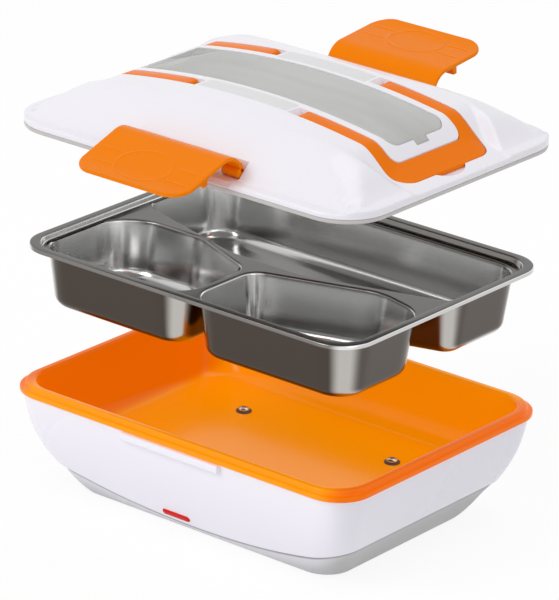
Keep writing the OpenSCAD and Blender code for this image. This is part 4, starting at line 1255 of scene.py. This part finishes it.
def relief(x, v):
    """Height of the embossing at x across the clip and v along it from the ellipse's middle."""
    ring = (np.sqrt((x / OVAL_A) ** 2 + (v / OVAL_B) ** 2) - 1) * 14
    ribs = (np.exp(-((np.abs(v) - 5.5) / 0.55) ** 2) * ramp((np.abs(x) - 17.5) / 1.5)
            * ramp((33 - np.abs(x)) / 1.5))
    return RAISED * np.maximum(np.exp(-(ring / 0.6) ** 2), ribs)


def clip_sheet():
    points, normals = clip_line()
    walked = np.concatenate([[0], np.cumsum(np.linalg.norm(np.diff(points, axis=0), axis=1))])
    half_t, round_r, across = SHEET_T / 2, 0.95, 124
    gap = half_t - round_r
    rows = []
    for (y, z), n, s in zip(points, normals, walked):
        w = CLIP_HALF
        if z < LOW + TIP_R:
            w = CLIP_HALF - TIP_R + math.sqrt(max(TIP_R ** 2 - (LOW + TIP_R - z) ** 2, 0.02))
        flat = np.linspace(-(w - round_r), w - round_r, across)
        v = s - (walked[-1] - OVAL_UP)
        t = np.radians([72, 54, 36, 18, 0, -18, -36, -54, -72])
        xs = np.concatenate([flat[::-1], -(w - round_r) - round_r * np.cos(t),
                             flat, w - round_r + round_r * np.cos(-t)])
        heights = np.concatenate([half_t + relief(flat[::-1], v), gap + round_r * np.sin(t),
                                  np.full(across, -half_t), gap + round_r * np.sin(-t)])
        lower_end = (heights < gap) & (np.abs(xs) > w - round_r + 1e-9)
        heights = np.where(lower_end, -gap + (heights - gap), heights)
        rows.append(np.column_stack([xs, y + n[0] * heights, z + n[1] * heights]))
    thin = rows[-1].copy()
    middle = np.array([0, *points[-1]])
    thin[:, 1:] = middle[1:] + (thin[:, 1:] - middle[1:]) * 0.35
    thin[:, 2] -= 0.02
    return Build().loft(rows + [thin], first=True, last=True)


def clip_rest():
    """Barrels, their tongues and the hook."""
    parts = []
    t = np.radians(np.linspace(0, 360, 40, endpoint=False))
    hub = np.array([1.0, TOP_Z - SHOULDER_R])
    outer = [hub + SHOULDER_R * ray(a) for a in np.radians(np.linspace(90, 70, 6))]
    inner = [hub + (SHOULDER_R - SHEET_T) * ray(a) for a in np.radians(np.linspace(66, 90, 6))]
    tongue = [(0, TOP_Z)] + outer + inner + [(0, TOP_Z - SHEET_T)]
    hook_r, x0, x1 = 22.25, 5.4, 12.9
    arcs = [(hook_r * math.cos(a), hook_r * math.sin(a)) for a in
            np.linspace(-math.acos(x1 / hook_r), -math.acos(x0 / hook_r), 9)]
    hook = [(x0, -hook_r - 2), (x1, -hook_r - 2)] + arcs
    for x_in, x_out in CLIP_BARRELS:
        rings = []
        for x, r in ((x_in, 2.4), (x_in + 0.4, KNUCKLE_R), (x_out - 0.4, KNUCKLE_R), (x_out, 2.4)):
            rings.append(np.column_stack([np.full(40, x), r * np.cos(t), r * np.sin(t)]))
        parts += [Build().loft(rings, first=True, last=True), prism(tongue[::-1], x_in, x_out, 0)]
    parts.append(prism(hook, -33, 33, 0))
    return join(parts)


sheet_part, rest_part = clip_sheet(), clip_rest()
for side, opened, name in ((-1, 71, "front_clip"), (1, 96, "back_clip")):
    whole = join([sheet_part, rest_part]).piece(name + "_sheet", clip_orange, 40)
    place = (Matrix.Translation(Vector((0, CLIP_AXIS[0], LID + CLIP_AXIS[1])) * MM)
             @ Matrix.Rotation(math.radians(opened), 4, "X"))
    if side < 0:
        place = Matrix.Rotation(math.pi, 4, "Z") @ place
    whole.data.transform(place)
    settle(whole, name, "orange_clip", "clip_front" if side < 0 else "clip_back")
print("clips:", len(whole.data.polygons), "faces each")
